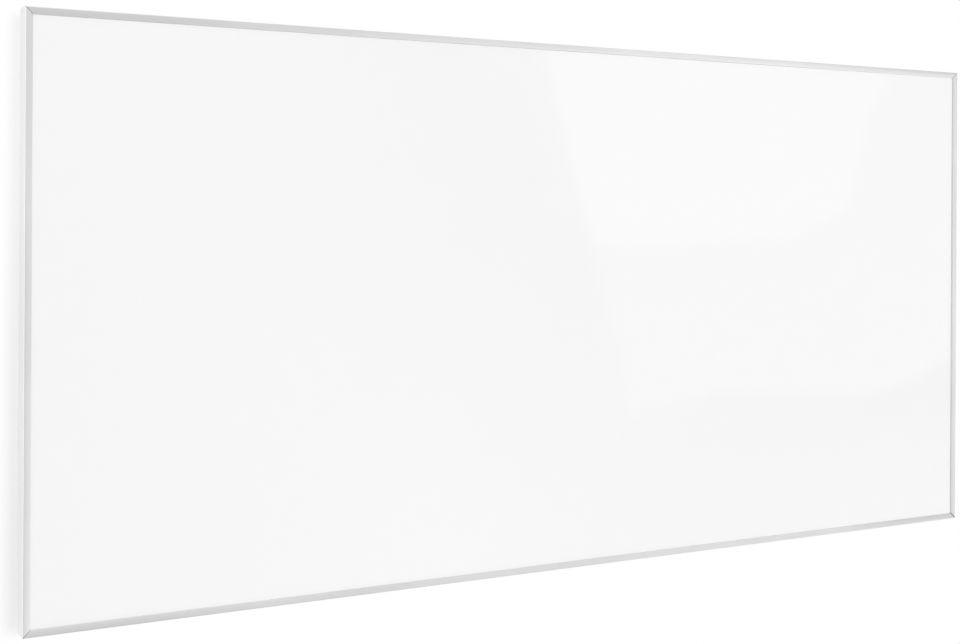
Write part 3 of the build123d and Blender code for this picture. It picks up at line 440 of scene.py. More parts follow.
@dataclass(frozen=True)
class Printed(Finish):
    """A laminate printed with carbon in bands, as a heating film is."""

    band: float = 80.0
    waver: float = 0.15
    print_depth: float = 0.00004
    grain: float = 600.0
    grain_depth: float = 0.00001
    second: Colour = (0.09, 0.085, 0.08)

    def lay(self, paint: Paint) -> None:
        """Lays the printed bands and a slight grain.

        Args:
            paint: the material.
        """
        bands = paint.bands(self.band, "Z", Scale=1.0, Distortion=self.waver)
        grain = paint.noise(self.grain)
        colour = paint.between(bands, self.colour, self.second)
        paint.coat(colour, self.gloss(paint, grain), (bands, self.print_depth), (grain, self.grain_depth))


@dataclass(frozen=True)
class Sheath(Finish):
    """The sheath of an inner lead, plain or striped in two colours."""

    stripe: Colour | None = None
    pitch: float = 900.0
    twist: float = 0.35
    grain: float = 900.0
    depth: float = 0.000008
    tone: float = 0.1

    def lay(self, paint: Paint) -> None:
        """Lays the colour, or the twisting stripes, with a faint extruded grain.

        Args:
            paint: the material.
        """
        grain = paint.noise(self.grain)
        if self.stripe:
            turns = paint.spread(paint.bands(self.pitch, "DIAGONAL", Scale=self.twist))
            colour = paint.between(turns, self.colour, self.stripe)
        else:
            colour = paint.between(grain, *self.shades(self.tone, self.tone))
        paint.coat(colour, self.gloss(paint, grain), (grain, self.depth))


GLOSS_WHITE = Enamel("gloss_white_enamel", (0.925, 0.925, 0.925), 0.02)
FRAME_ACROSS = DrawnBar("satin_aluminium", (0.75, 0.75, 0.75), 0.36, lines=Axis.X)
FRAME_UPRIGHT = DrawnBar("satin_aluminium", (0.75, 0.75, 0.75), 0.36, lines=Axis.Z)
MILL_SHEET = Metal("mill_aluminium", (0.80, 0.81, 0.82), 0.36, lines=Axis.X, run=3.0, pitch=700.0, tone=0.04)
ZINC = Metal(
    "zinc_plated_steel", (0.70, 0.71, 0.72), 0.32, tone=0.06, bloom=(0.76, 0.75, 0.70), cloud=35.0,
    pitch=900.0, depth=0.000006,
)
CAST = Metal("cast_aluminium", (0.60, 0.60, 0.61), 0.55, pitch=900.0, depth=0.00008, cloud=40.0, tone=0.07)
COPPER = Metal(
    "copper", (0.80, 0.45, 0.30), 0.3, lines=Axis.Z, tone=0.08, bloom=(0.62, 0.33, 0.22), cloud=60.0)
BRASS = Metal("brass", (0.80, 0.64, 0.36), 0.3, tone=0.05, bloom=(0.70, 0.54, 0.30), cloud=120.0)
FOIL = Foil("bright_foil", (0.90, 0.90, 0.91), 0.16)
SILICONE = Moulded("grey_silicone", (0.45, 0.45, 0.45), 0.6, texture=900.0, tone=0.05)
FILM = Moulded("polyester_film", (0.85, 0.80, 0.68), 0.22, texture=300.0, depth=0.00002, tone=0.03)
BOX_PLASTIC = Moulded("white_box_plastic", (0.86, 0.86, 0.85), 0.45, depth=0.00002)
BLOCK_PLASTIC = Moulded("block_plastic", (0.88, 0.86, 0.78), 0.35)
NYLON = Moulded("grey_nylon", (0.55, 0.56, 0.57), 0.4, depth=0.00002)
SWITCH_PLASTIC = Moulded("black_switch_plastic", (0.022, 0.022, 0.023), 0.28, tone=0.1)
RESIN = Moulded("cutout_resin", (0.10, 0.08, 0.07), 0.4, tone=0.08)
BOARD = Fibre("insulation_board", (0.82, 0.78, 0.66), 0.95)
LAMINATE = Printed("carbon_laminate", (0.03, 0.03, 0.033), 0.5)
BROWN = Sheath("brown_lead", (0.22, 0.10, 0.05), 0.4)
BLUE = Sheath("blue_lead", (0.06, 0.20, 0.55), 0.4)
GREEN = Sheath("green_lead", (0.12, 0.42, 0.10), 0.4, stripe=(0.85, 0.75, 0.08))


# ---- pieces
def smooth(mesh: bpy.types.Mesh, crease: float = 32.0) -> None:
    """Shades a mesh smooth up to creases of this many degrees."""
    mesh.shade_smooth()
    mesh.set_sharp_from_angle(angle=math.radians(crease))


def settle(piece: Piece, body: Body, finish: Finish, *stands_for: str) -> Piece:
    """Finishes a new piece: its material, its body and the nodes that it stands for.

    Args:
        piece: the piece, already in place.
        body: the CAD body that it moves with.
        finish: its finish.
        stands_for: the CAD nodes that it replaces.

    Returns:
        The piece.
    """
    piece.data.materials.clear()
    piece.data.materials.append(material_of(finish))
    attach(piece, body.value)
    if stands_for:
        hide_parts(*stands_for)
    return piece


def new_piece(name: str, shape: Shape) -> Piece:
    """Turns a finished bmesh into an object at the origin.

    Args:
        name: the object's name.
        shape: its mesh, in metres in the CAD's frame, freed here.

    Returns:
        The new object, in the scene.
    """
    mesh = bpy.data.meshes.new(name)
    shape.to_mesh(mesh)
    shape.free()
    piece = bpy.data.objects.new(name, mesh)
    bpy.context.scene.collection.objects.link(piece)
    return piece


def rounded(node: str, radius: float, body: Body, finish: Finish, sharpest: float = 35.0) -> Piece:
    """Puts a copy of a CAD node in its place, with its sharp edges rounded as moulded parts have them.

    Args:
        node: the CAD node.
        radius: how far the rounding reaches from an edge, in metres.
        body: the CAD body that it moves with.
        finish: its finish.
        sharpest: edges that turn by more degrees than this are rounded.

    Returns:
        The copy.
    """
    shape = bmesh.new()
    shape.from_mesh(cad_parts[node].data)
    bmesh.ops.remove_doubles(shape, verts=shape.verts, dist=MERGE_DISTANCE)
    bmesh.ops.dissolve_limit(shape, angle_limit=math.radians(1.0), verts=shape.verts, edges=shape.edges)
    turned = [
        edge for edge in shape.edges
        if len(edge.link_faces) == 2 and edge.calc_face_angle(0.0) > math.radians(sharpest)
    ]
    bmesh.ops.bevel(
        shape, geom=turned, offset=radius, offset_type="OFFSET", segments=2, profile=0.5, affect="EDGES",
        clamp_overlap=True,
    )
    bmesh.ops.triangulate(shape, faces=[face for face in shape.faces if len(face.verts) > 4])
    piece = new_piece(f"{node}_finished", shape)
    smooth(piece.data)
    return settle(piece, body, finish, node)


# ---- Geometry Nodes
class Recipe(NodeTree):
    """A Geometry Nodes tree with named inputs for its sizes."""

    SOCKETS = {float: "NodeSocketFloat", int: "NodeSocketInt", tuple: "NodeSocketVector"}

    def __init__(self, name: str, **sizes: Size) -> None:
        """Starts a tree.

        Args:
            name: the tree's name.
            sizes: its inputs and their defaults.
        """
        super().__init__(bpy.data.node_groups.new(name, "GeometryNodeTree"))
        sockets = self.tree.interface
        sockets.new_socket("Geometry", in_out="INPUT", socket_type="NodeSocketGeometry")
        for size, default in sizes.items():
            made = sockets.new_socket(size, in_out="INPUT", socket_type=self.SOCKETS[type(default)])
            made.default_value = default
        sockets.new_socket("finish", in_out="INPUT", socket_type="NodeSocketMaterial")
        sockets.new_socket("Geometry", in_out="OUTPUT", socket_type="NodeSocketGeometry")
        self.given = self.node("NodeGroupInput").outputs

    def vector(self, x: object = 0.0, y: object = 0.0, z: object = 0.0) -> Socket:
        """A vector of three sockets or numbers."""
        return self.node("ShaderNodeCombineXYZ", {"X": x, "Y": y, "Z": z}).outputs[0]

    def where(self) -> tuple[Socket, Socket, Socket, Socket]:
        """Works out where a point is.

        Returns:
            Its X, Y and Z, and how far it is from the Z axis.
        """
        x, y, z = self.parts(self.node("GeometryNodeInputPosition").outputs[0])
        squares = [self.calc("POWER", part, 2.0) for part in (x, y)]
        return x, y, z, self.calc("SQRT", self.calc("ADD", *squares))

    def moved(self, geometry: Socket, way: object, turn: object = (0.0, 0.0, 0.0)) -> Socket:
        """A geometry turned about the origin and then moved along a way."""
        return self.node(
            "GeometryNodeTransform", {"Geometry": geometry, "Translation": way, "Rotation": turn}).outputs[0]

    def combined(self, operation: str, meshes: dict[str, object]) -> Socket:
        """Meshes joined to each other or cut out of the first."""
        return self.node("GeometryNodeMeshBoolean", meshes, operation=operation, solver="EXACT").outputs["Mesh"]

    def finish(self, geometry: Socket) -> None:
        """Ends the tree in Realize Instances and Set Material.

        Args:
            geometry: what the tree makes.
        """
        real = self.node("GeometryNodeRealizeInstances", {"Geometry": geometry}).outputs[0]
        painted = self.node("GeometryNodeSetMaterial", {"Geometry": real, "Material": self.given["finish"]})
        self.node("NodeGroupOutput", {0: painted.outputs[0]})

    def make(self, name: str, start: Shape, finish: Finish, stands_for: str, **sizes: Size) -> Piece:
        """Runs the tree on a start shape and puts the result on the heater as a plain mesh.

        Args:
            name: the piece's name.
            start: the points or the outline that the tree works from, freed here.
            finish: the piece's finish.
            stands_for: the CAD node that it replaces.
            sizes: inputs that differ from the defaults.

        Returns:
            The piece, with no modifier left on it.
        """
        piece = new_piece(name, start)
        modifier = piece.modifiers.new(self.tree.name, "NODES")
        modifier.node_group = self.tree
        values = {**sizes, "finish": material_of(finish)}
        for item in self.tree.interface.items_tree:
            if item.in_out == "INPUT" and item.name in values:
                modifier[item.identifier] = values[item.name]
        shown = piece.evaluated_get(bpy.context.evaluated_depsgraph_get())
        mesh = bpy.data.meshes.new_from_object(shown)
        piece.modifiers.clear()
        piece.data = mesh
        mesh.name = name
        smooth(mesh)
        return settle(piece, Body.HEATER, finish, stands_for)


def start_shape(places: Iterable[Pair | Triple], loop: bool = False) -> Shape:
    """Makes what a tree works from.

    Args:
        places: where its points are. Two numbers are X and Y.
        loop: whether edges join them to a closed outline.

    Returns:
        The points or the outline.
    """
    shape = bmesh.new()
    verts = [shape.verts.new(Vector(place).to_3d()) for place in places]
    for first, second in zip(verts, verts[1:] + verts[:1]) if loop else ():
        shape.edges.new((first, second))
    return shape


@functools.cache
def screw_recipe() -> Recipe:
    """Pan-head screws with a cross recess, one on each point, heads towards the wall.

    Returns:
        The tree.
    """
    recipe = Recipe(
        "driven_screws", head_radius=2.9 * MM, head_height=1.5 * MM, shank_radius=1.45 * MM,
        shank_length=9.5 * MM, recess_width=0.7 * MM, recess_depth=0.8 * MM, seed=4,
        dome_power=3.5, dome_fall=0.55, recess_reach=1.15,
    )
    given = recipe.given
    height, radius = given["head_height"], given["head_radius"]
    half = recipe.product(height, 0.5)
    up_half = recipe.vector(z=half)
    head = recipe.node(
        "GeometryNodeMeshCylinder",
        {"Vertices": 36, "Side Segments": 1, "Fill Segments": 7, "Radius": radius, "Depth": height},
        fill_type="TRIANGLE_FAN",
    )
    _, _, z, out = recipe.where()
    rim = recipe.calc("POWER", recipe.calc("DIVIDE", out, radius), given["dome_power"])
    domed = recipe.node("GeometryNodeSetPosition", {
        "Geometry": head.outputs["Mesh"],
        "Selection": recipe.calc("GREATER_THAN", z, 0.0),
        "Offset": recipe.vector(z=recipe.product(rim, height, given["dome_fall"], -1.0)),
    })
    depth = recipe.calc("ADD", given["shank_length"], half)
    shank = recipe.node(
        "GeometryNodeMeshCylinder", {"Vertices": 20, "Radius": given["shank_radius"], "Depth": depth})
    sunk = recipe.moved(shank.outputs["Mesh"], recipe.vector(z=recipe.product(depth, -0.5)))
    whole = recipe.combined("UNION", {"Mesh 2": [domed.outputs[0], sunk]})
    size = recipe.vector(
        recipe.product(radius, given["recess_reach"]), given["recess_width"],
        recipe.product(given["recess_depth"], 2.0),
    )
    blades = [
        recipe.moved(recipe.node("GeometryNodeMeshCube", {"Size": size}).outputs["Mesh"], up_half, (0.0, 0.0, turn))
        for turn in (0.0, math.pi / 2)
    ]
    cut = recipe.combined("DIFFERENCE", {"Mesh 1": whole, "Mesh 2": blades})
    spin = recipe.node("FunctionNodeRandomValue", {"Seed": given["seed"]}, data_type="FLOAT").outputs[1]
    turned = recipe.node("FunctionNodeEulerToRotation", {
        0: recipe.vector(-math.pi / 2, recipe.product(spin, math.pi / 2), 0.0),
    })
    set_in = recipe.node("GeometryNodeInstanceOnPoints", {
        "Points": given["Geometry"], "Instance": recipe.moved(cut, up_half), "Rotation": turned.outputs[0],
    })
    recipe.finish(set_in.outputs["Instances"])
    return recipe


def lathe_recipe() -> Recipe:
    """A turned part about the Z axis, with grip flutes between two heights.

    Returns:
        The tree. It works from a closed outline whose X is the radius and whose Y is the height.
    """
    recipe = Recipe(
        "turned_part", centre=(0.0, 0.0, 0.0), steps=96, flutes=0, flute_depth=0.4 * MM,
        grip_from=0.0, grip_to=10.0 * MM, grip_radius=6.6 * MM,
    )
    given = recipe.given
    path = recipe.node(
        "GeometryNodeCurvePrimitiveCircle", {"Resolution": given["steps"], "Radius": 1.0}, mode="RADIUS")
    profile = recipe.node("GeometryNodeMeshToCurve", {"Mesh": given["Geometry"]})
    swept = recipe.node("GeometryNodeCurveToMesh", {
        "Curve": path.outputs[0], "Profile Curve": recipe.moved(profile.outputs[0], (-1.0, 0.0, 0.0)),
    })
    x, y, z, out = recipe.where()
    ripple = recipe.calc("COSINE", recipe.product(recipe.calc("ARCTAN2", y, x), given["flutes"]))
    bite = recipe.product(recipe.calc("MAXIMUM", ripple, 0.0), given["flute_depth"])
    held = recipe.product(
        recipe.calc("GREATER_THAN", z, given["grip_from"]),
        recipe.calc("LESS_THAN", z, given["grip_to"]),
        recipe.calc("GREATER_THAN", out, given["grip_radius"]),
    )
    pull = recipe.calc("SUBTRACT", 1.0, recipe.calc("DIVIDE", recipe.product(bite, held), out))
    fluted = recipe.node("GeometryNodeSetPosition", {
        "Geometry": recipe.moved(swept.outputs[0], (0.0, 0.0, 0.0), (math.pi, 0.0, 0.0)),
        "Position": recipe.vector(recipe.product(x, pull), recipe.product(y, pull), z),
    })
    recipe.finish(recipe.moved(fluted.outputs[0], given["centre"]))
    return recipe


# ---- the heater's sub-assemblies
@dataclass
class SubAssembly:
    """A group of pieces: CAD nodes that only get a finish, and new pieces that stand for other nodes."""

    DRESSED: ClassVar[dict[Finish, Sequence[str]]] = {}

    def make(self) -> list[Piece]:
        """Makes the new pieces, in a group that has any."""
        return []

    def build(self) -> list[Piece]:
        """Dresses the group's CAD nodes and makes its new pieces.

        Returns:
            All of them.
        """
        dressed = []
        for finish, names in self.DRESSED.items():
            for piece in (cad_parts[name] for name in names):
                for slot in piece.material_slots:
                    slot.material = material_of(finish)
                dressed.append(piece)
        return dressed + self.make()


@dataclass
class FrontPanel(SubAssembly):
    """The gloss white sheet and the silicone strips behind its edge."""

    DRESSED = {GLOSS_WHITE: ["front_panel"], SILICONE: ["edge_gasket"]}


@dataclass
class AluminiumFrame(SubAssembly):
    """The four mitred bars, finished along their own length, their corner keys and the grub screws in them."""

    DRESSED = {
        FRAME_ACROSS: ["frame_top", "frame_bottom"],
        FRAME_UPRIGHT: ["frame_left", "frame_right"],
        CAST: [f"corner_key_{level}_{side}" for level in ("top", "bottom") for side in ("left", "right")],
        ZINC: ["corner_grub_screws"],
    }


@dataclass
class InnerLayers(SubAssembly):
    """The heating sheet with its copper strips, and the layers behind it, from the front to the back."""

    DRESSED = {
        LAMINATE: ["heating_sheet"],
        COPPER: ["busbar_left", "busbar_right"],
        FILM: ["insulating_sheet"],
        FOIL: ["reflector_foil"],
        BOARD: ["insulation_board"],
    }


@dataclass
class BackPlate(SubAssembly):
    """The rear cover and the screws round its edge."""

    DRESSED = {MILL_SHEET: ["back_plate"]}
    across: int = 9
    up: int = 4
    half_width: float = 594.5 * MM
    half_height: float = 294.5 * MM
    reach_x: float = 540.0 * MM
    reach_z: float = 240.0 * MM
    seat: float = -23.7 * MM

    def make(self) -> list[Piece]:
        """Drives the plate's screws.

        Returns:
            Them, as one piece.
        """
        xs = [self.reach_x * (2 * i / (self.across - 1) - 1) for i in range(self.across)]
        zs = [self.reach_z * (2 * i / (self.up - 1) - 1) for i in range(self.up)]
        flat = [(x, side * self.half_height) for side in (-1, 1) for x in xs]
        flat += [(side * self.half_width, z) for side in (-1, 1) for z in zs]
        places = start_shape((x, self.seat, z) for x, z in flat)
        return [screw_recipe().make("back_plate_screw_set", places, ZINC, "back_plate_screws")]


@dataclass
class WallRails(SubAssembly):
    """The two folded rails on the wall."""

    DRESSED = {ZINC: ["wall_rail_upper", "wall_rail_lower"]}


@dataclass
class Hangers(SubAssembly):
    """The four hooks on the back, their screws and the nuts inside."""

    DRESSED = {ZINC: [
        *(f"hanger_{level}_{side}" for level in ("upper", "lower") for side in ("left", "right")), "hanger_nuts",
    ]}
    spacing: float = 330.0 * MM
    spread: float = 14.0 * MM
    levels: Pair = (215.0 * MM, -185.0 * MM)
    seat: float = -22.2 * MM

    def make(self) -> list[Piece]:
        """Drives the hooks' screws."""
        places = [
            (side * self.spacing + step * self.spread, self.seat, level)
            for level in self.levels for side in (-1, 1) for step in (-1, 1)
        ]
        return [screw_recipe().make(
            "hanger_screw_set", start_shape(places), ZINC, "hanger_screws", head_radius=4.0 * MM,
            head_height=2.6 * MM, shank_radius=2.0 * MM, shank_length=8.0 * MM, recess_width=1.0 * MM,
            recess_depth=1.4 * MM, seed=9,
        )]


@dataclass
class TerminalBox(SubAssembly):
    """The box behind the lower right of the panel and what is wired in it."""

    DRESSED = {
        SILICONE: ["terminal_box_seal"],
        FRAME_ACROSS: ["box_rivets"],
        BLOCK_PLASTIC: ["terminal_block"],
        BRASS: ["terminal_clamps"],
        ZINC: ["terminal_screws", "block_screws"],
    }
    centre: Pair = (430.0 * MM, -232.0 * MM)
    boss: Pair = (48.0 * MM, 31.0 * MM)
    seat: float = -5.9 * MM
    edge: float = 0.35 * MM

    def make(self) -> list[Piece]:
        """Rounds the moulded shells and drives the lid's screws.

        Returns:
            The shells and the screws.
        """
        shells = [
            rounded(node, self.edge, Body.HEATER, BOX_PLASTIC) for node in ("terminal_box_base", "terminal_box_lid")
        ]
        places = [
            (self.centre[0] + a * self.boss[0], self.seat, self.centre[1] + b * self.boss[1])
            for a in (-1, 1) for b in (-1, 1)
        ]
        return [*shells, screw_recipe().make(
            "terminal_lid_screw_set", start_shape(places), ZINC, "terminal_lid_screws", head_radius=2.8 * MM,
            head_height=1.2 * MM, shank_radius=1.5 * MM, shank_length=10.0 * MM, recess_width=0.65 * MM,
            recess_depth=0.7 * MM, seed=2,
        )]


@dataclass
class CableGland(SubAssembly):
    """The cord's gland: hexagon body, locknut, seal and fluted dome nut."""

    DRESSED = {NYLON: ["gland_locknut"], SILICONE: ["gland_seal"]}
    centre: Triple = (450.0 * MM, -14.7 * MM, -285.5 * MM)
    radius: float = 7.3 * MM
    height: float = 11.0 * MM
    bore: float = 3.3 * MM
    seal_radius: float = 4.85 * MM
    seal_foot: float = 3.0 * MM
    crown: float = 2.9 * MM
    crown_steps: int = 6
    wall_steps: int = 4
    edge: float = 0.3 * MM
    flutes: int = 14
    flute_depth: float = 0.45 * MM
    grip_from: float = 3.48 * MM
    grip_to: float = 10.67 * MM
    grip_radius: float = 6.57 * MM

    def dome_outline(self) -> list[Pair]:
        """Draws the dome nut's section.

        Returns:
            The radius and the height above the nut's foot of each corner.
        """
        turns = [math.pi / 2 * step / self.crown_steps for step in range(self.crown_steps + 1)]
        crown = [
            (self.radius - self.crown * (1 - math.sin(turn)), self.crown * (1 - math.cos(turn))) for turn in turns
        ]
        straight = self.height - self.edge - self.crown
        wall = [
            (self.radius, self.crown + straight * step / self.wall_steps) for step in range(1, self.wall_steps + 1)
        ]
        return [
            (self.bore, self.edge), (self.bore + self.edge, 0.0), *crown, *wall,
            (self.radius - self.edge, self.height), (self.seal_radius, self.height),
            (self.seal_radius, self.seal_foot), (self.bore, self.seal_foot),
        ]

    def make(self) -> list[Piece]:
        """Turns the dome nut and rounds the hexagon."""
        dome = lathe_recipe().make(
            "gland_dome_nut_fluted", start_shape(self.dome_outline(), loop=True), NYLON, "gland_dome_nut",
            centre=self.centre, flutes=self.flutes, flute_depth=self.flute_depth, grip_from=self.grip_from,
            grip_to=self.grip_to, grip_radius=self.grip_radius,
        )
        return [dome, rounded("gland_body", self.edge, Body.HEATER, NYLON)]


@dataclass
class RockerSwitch(SubAssembly):
    """The mains rocker: housing, contacts, and the rocker with its two moulded marks."""

    DRESSED = {BRASS: ["switch_contacts"]}
    pivot: Triple = (400.0 * MM, -14.7 * MM, -269.5 * MM)
    tilt: float = 10.0
    slope: float = 9.1
    housing_edge: float = 0.2 * MM
    rocker_edge: float = 0.25 * MM
    mark_x: float = 3.3 * MM
    face: float = 3.13 * MM
    mark: float = 1.5 * MM
    line: float = 0.35 * MM
    rise: float = 0.15 * MM
    ring_steps: int = 32

    def marks(self) -> Shape:
        """Makes the bar and the ring that say on and off, raised a little from the rocker's face.

        Returns:
            Their mesh.
        """
        shape = bmesh.new()
        bar = bmesh.ops.create_cube(shape, size=1.0)["verts"]
        bmesh.ops.scale(shape, verts=bar, vec=(self.line, self.mark, 2 * self.rise))
        bmesh.ops.transform(shape, matrix=self.on_face(-1), verts=bar)
        outer, inner = self.mark / 2, self.mark / 2 - self.line
        section = ((inner, -self.rise), (inner, self.rise), (outer, self.rise), (outer, -self.rise))
        turns = [2 * math.pi * step / self.ring_steps for step in range(self.ring_steps)]
        rings = [
            [shape.verts.new((radius * math.cos(turn), radius * math.sin(turn), height)) for turn in turns]
            for radius, height in section
        ]
        for first, second in zip(rings, rings[1:] + rings[:1]):
            for step in range(self.ring_steps):
                after = (step + 1) % self.ring_steps
                shape.faces.new((first[step], first[after], second[after], second[step]))
        bmesh.ops.transform(shape, matrix=self.on_face(1), verts=[vert for ring in rings for vert in ring])
        bmesh.ops.recalc_face_normals(shape, faces=shape.faces)
        return shape

    def on_face(self, side: int) -> Matrix:
        """Works out how a mark goes from the origin onto the rocker's face.

        Args:
            side: -1 for the rocker's left half and 1 for its right.

        Returns:
            The move.
        """
        lean = Matrix.Rotation(math.radians(side * self.slope), 4, "Y")
        on_half = Matrix.Translation((side * self.mark_x, 0.0, -self.face)) @ lean
        return Matrix.Translation(self.pivot) @ Matrix.Rotation(math.radians(self.tilt), 4, "Y") @ on_half

    def make(self) -> list[Piece]:
        """Rounds the housing and the rocker and adds the marks."""
        return [
            rounded("switch_housing", self.housing_edge, Body.HEATER, SWITCH_PLASTIC),
            rounded("switch_rocker", self.rocker_edge, Body.ROCKER, SWITCH_PLASTIC),
            settle(new_piece("switch_rocker_marks", self.marks()), Body.ROCKER, BOX_PLASTIC),
        ]


@dataclass
class Wiring(SubAssembly):
    """The inner leads, the earth connection, the grommet and the thermal cut-out."""

    DRESSED = {
        BROWN: ["lead_live", "lead_switched", "lead_heater"],
        BLUE: ["lead_neutral"],
        GREEN: ["lead_earth"],
        SWITCH_PLASTIC: ["plate_grommet"],
        RESIN: ["thermal_cutout"],
        BRASS: ["cutout_terminals"],
        ZINC: ["earth_lug", "earth_screw", "earth_nut"],
    }


# ---- the studio
def direction(azimuth: float, elevation: float) -> Vector:
    """The way out from the heater: azimuth 0 is straight out from its front, 90 to its right."""
    turn, rise = math.radians(azimuth), math.radians(elevation)
    return Vector((math.sin(turn) * math.cos(rise), -math.cos(turn) * math.cos(rise), math.sin(rise)))


def hide_from(piece: Piece, *rays: str) -> None:
    """Keeps a piece of the studio from these kinds of ray."""
    for ray in rays:
        setattr(piece, f"visible_{ray}", False)


@dataclass(frozen=True)
class Viewpoint:
    """The photograph's camera."""

    place: Triple = (-0.8969, -1.5886, 0.1015)
    yaw: float = 31.240
    roll: float = 0.299
    lens: float = 58.26
    sensor: float = 36.0
    shift: Pair = (-0.1255, -0.1080)

    def build(self) -> None:
        """Sets up the scene's camera."""
        yaw, roll = math.radians(self.yaw), math.radians(self.roll)
        ahead = Vector((math.sin(yaw), math.cos(yaw), 0.0))
        level = Vector((math.cos(yaw), -math.sin(yaw), 0.0))
        right = level * math.cos(roll) + Vector((0.0, 0.0, math.sin(roll)))
        up = right.cross(ahead)
        camera = bpy.data.objects.new("camera", bpy.data.cameras.new("camera"))
        turn = Matrix((right, up, -ahead)).transposed()
        camera.matrix_world = Matrix.LocRotScale(Vector(self.place), turn, None)
        camera.data.lens = self.lens
        camera.data.sensor_width = self.sensor
        camera.data.shift_x, camera.data.shift_y = self.shift
        bpy.context.scene.collection.objects.link(camera)
        bpy.context.scene.camera = camera


VIEWPOINT = Viewpoint()


@dataclass(frozen=True)
class Lamp:
    """A far soft lamp that lights all of the heater evenly and doesn't show in its gloss."""

    name: str
    azimuth: float
    elevation: float
    spread: float
    level: float
    distance: float = 4.0

    def build(self) -> None:
        """Hangs the lamp. Its level is how brightly it lights a white sheet that faces it."""
        data = bpy.data.lights.new(self.name, "SUN")
        data.angle = math.radians(self.spread)
        data.energy = self.level * math.pi
        lamp = bpy.data.objects.new(self.name, data)
        away = direction(self.azimuth, self.elevation)
        lamp.location = away * self.distance
        lamp.rotation_mode = "QUATERNION"
        lamp.rotation_quaternion = away.to_track_quat("Z", "Y")
        hide_from(lamp, "camera", "glossy")
        bpy.context.scene.collection.objects.link(lamp)


@dataclass(frozen=True)
class Reflection:
    """A bright opening in the room, which the gloss panel shows. Its corners say where on the panel it shows.

    Each corner is X and Z on the panel and the width over which the edge fades there, in metres.
    """

    name: str
    corners: tuple[Triple, ...]
    level: float
    depth: float

    def seen(self, spot: Vector) -> Vector:
        """Follows the sight line that the panel turns back at a spot.

        Args:
            spot: X and Z on the panel.

        Returns:
            Where the line meets the opening.
        """
        hit = Vector((spot.x, PANEL_FACE, spot.y))
        sight = hit - Vector(VIEWPOINT.place)
        sight.y = -sight.y
        return hit + sight * ((self.depth - PANEL_FACE) / sight.y)

    def build(self) -> None:
        """Makes the opening as a card that only gloss sees."""
        flat = [Vector((x, z)) for x, z, _ in self.corners]
        middle = sum(flat, Vector((0.0, 0.0))) / len(flat)
        shape = bmesh.new()
        fade = shape.verts.layers.float.new("fade")
        inner, outer = (
            [
                shape.verts.new(self.seen(spot + (spot - middle).normalized() * soft * share))
                for spot, (_, _, soft) in zip(flat, self.corners)
            ]
            for share in (-0.5, 0.5)
        )
        hub = shape.verts.new(self.seen(middle))
        for vert in (hub, *inner):
            vert[fade] = 1.0
        for step in range(len(inner)):
            after = (step + 1) % len(inner)
            shape.faces.new((hub, inner[step], inner[after]))
            shape.faces.new((inner[step], outer[step], outer[after], inner[after]))
        card = new_piece(self.name, shape)
        card.data.materials.append(self.glow())
        hide_from(card, "camera", "diffuse", "transmission", "shadow", "volume_scatter")

    def glow(self) -> bpy.types.Material:
        """Makes a light that fades out over the card's soft edge.

        Returns:
            Its material.
        """
        paint = Paint(self.name)
        share = paint.node("ShaderNodeAttribute", attribute_name="fade").outputs["Fac"]
        light = paint.node("ShaderNodeEmission", {"Strength": self.level}).outputs[0]
        paint.show(paint.one_of(share, paint.clear(), light))
        return paint.material


@dataclass(frozen=True)
class RoomTone:
    """A soft lighter or darker part of the room, which only gloss sees."""

    azimuth: float
    elevation: float
    width: float
    change: float


@dataclass(frozen=True)
class BarShadow:
    """The soft shadow on the wall beside the left bar: darker and wider the lower it is.

    A pair holds the height or the X where a change starts and stops, or a value at the bar's top and bottom.
    """

    bar: float = -600.0 * MM
    ends: Pair = (300.0 * MM, -300.0 * MM)
    reach: Pair = (12.0 * MM, 27.0 * MM)
    dark: Pair = (0.22, 0.38)
    fall: float = 1.5
    inner_edge: Pair = (-585.0 * MM, -592.0 * MM)
    top_edge: Pair = (318.0 * MM, 292.0 * MM)
    bottom_edge: Pair = (-325.0 * MM, -298.0 * MM)

    def lay(self, paint: Paint, across: Socket, height: Socket) -> Socket:
        """Lays the shadow's nodes.

        Args:
            paint: the wall's material.
            across: X on the wall.
            height: Z on the wall.

        Returns:
            How dark the shadow is.
        """
        gap = paint.calc("SUBTRACT", self.bar, across)
        near = paint.calc("SUBTRACT", 1.0, paint.calc("DIVIDE", gap, paint.ramp(height, self.ends, self.reach)))
        inside = paint.calc("MINIMUM", paint.calc("MAXIMUM", near, 0.0), 1.0)
        return paint.product(
            paint.calc("POWER", inside, self.fall),
            paint.ramp(across, self.inner_edge),
            paint.ramp(height, self.top_edge),
            paint.ramp(height, self.bottom_edge),
            paint.ramp(height, self.ends, self.dark),
        )


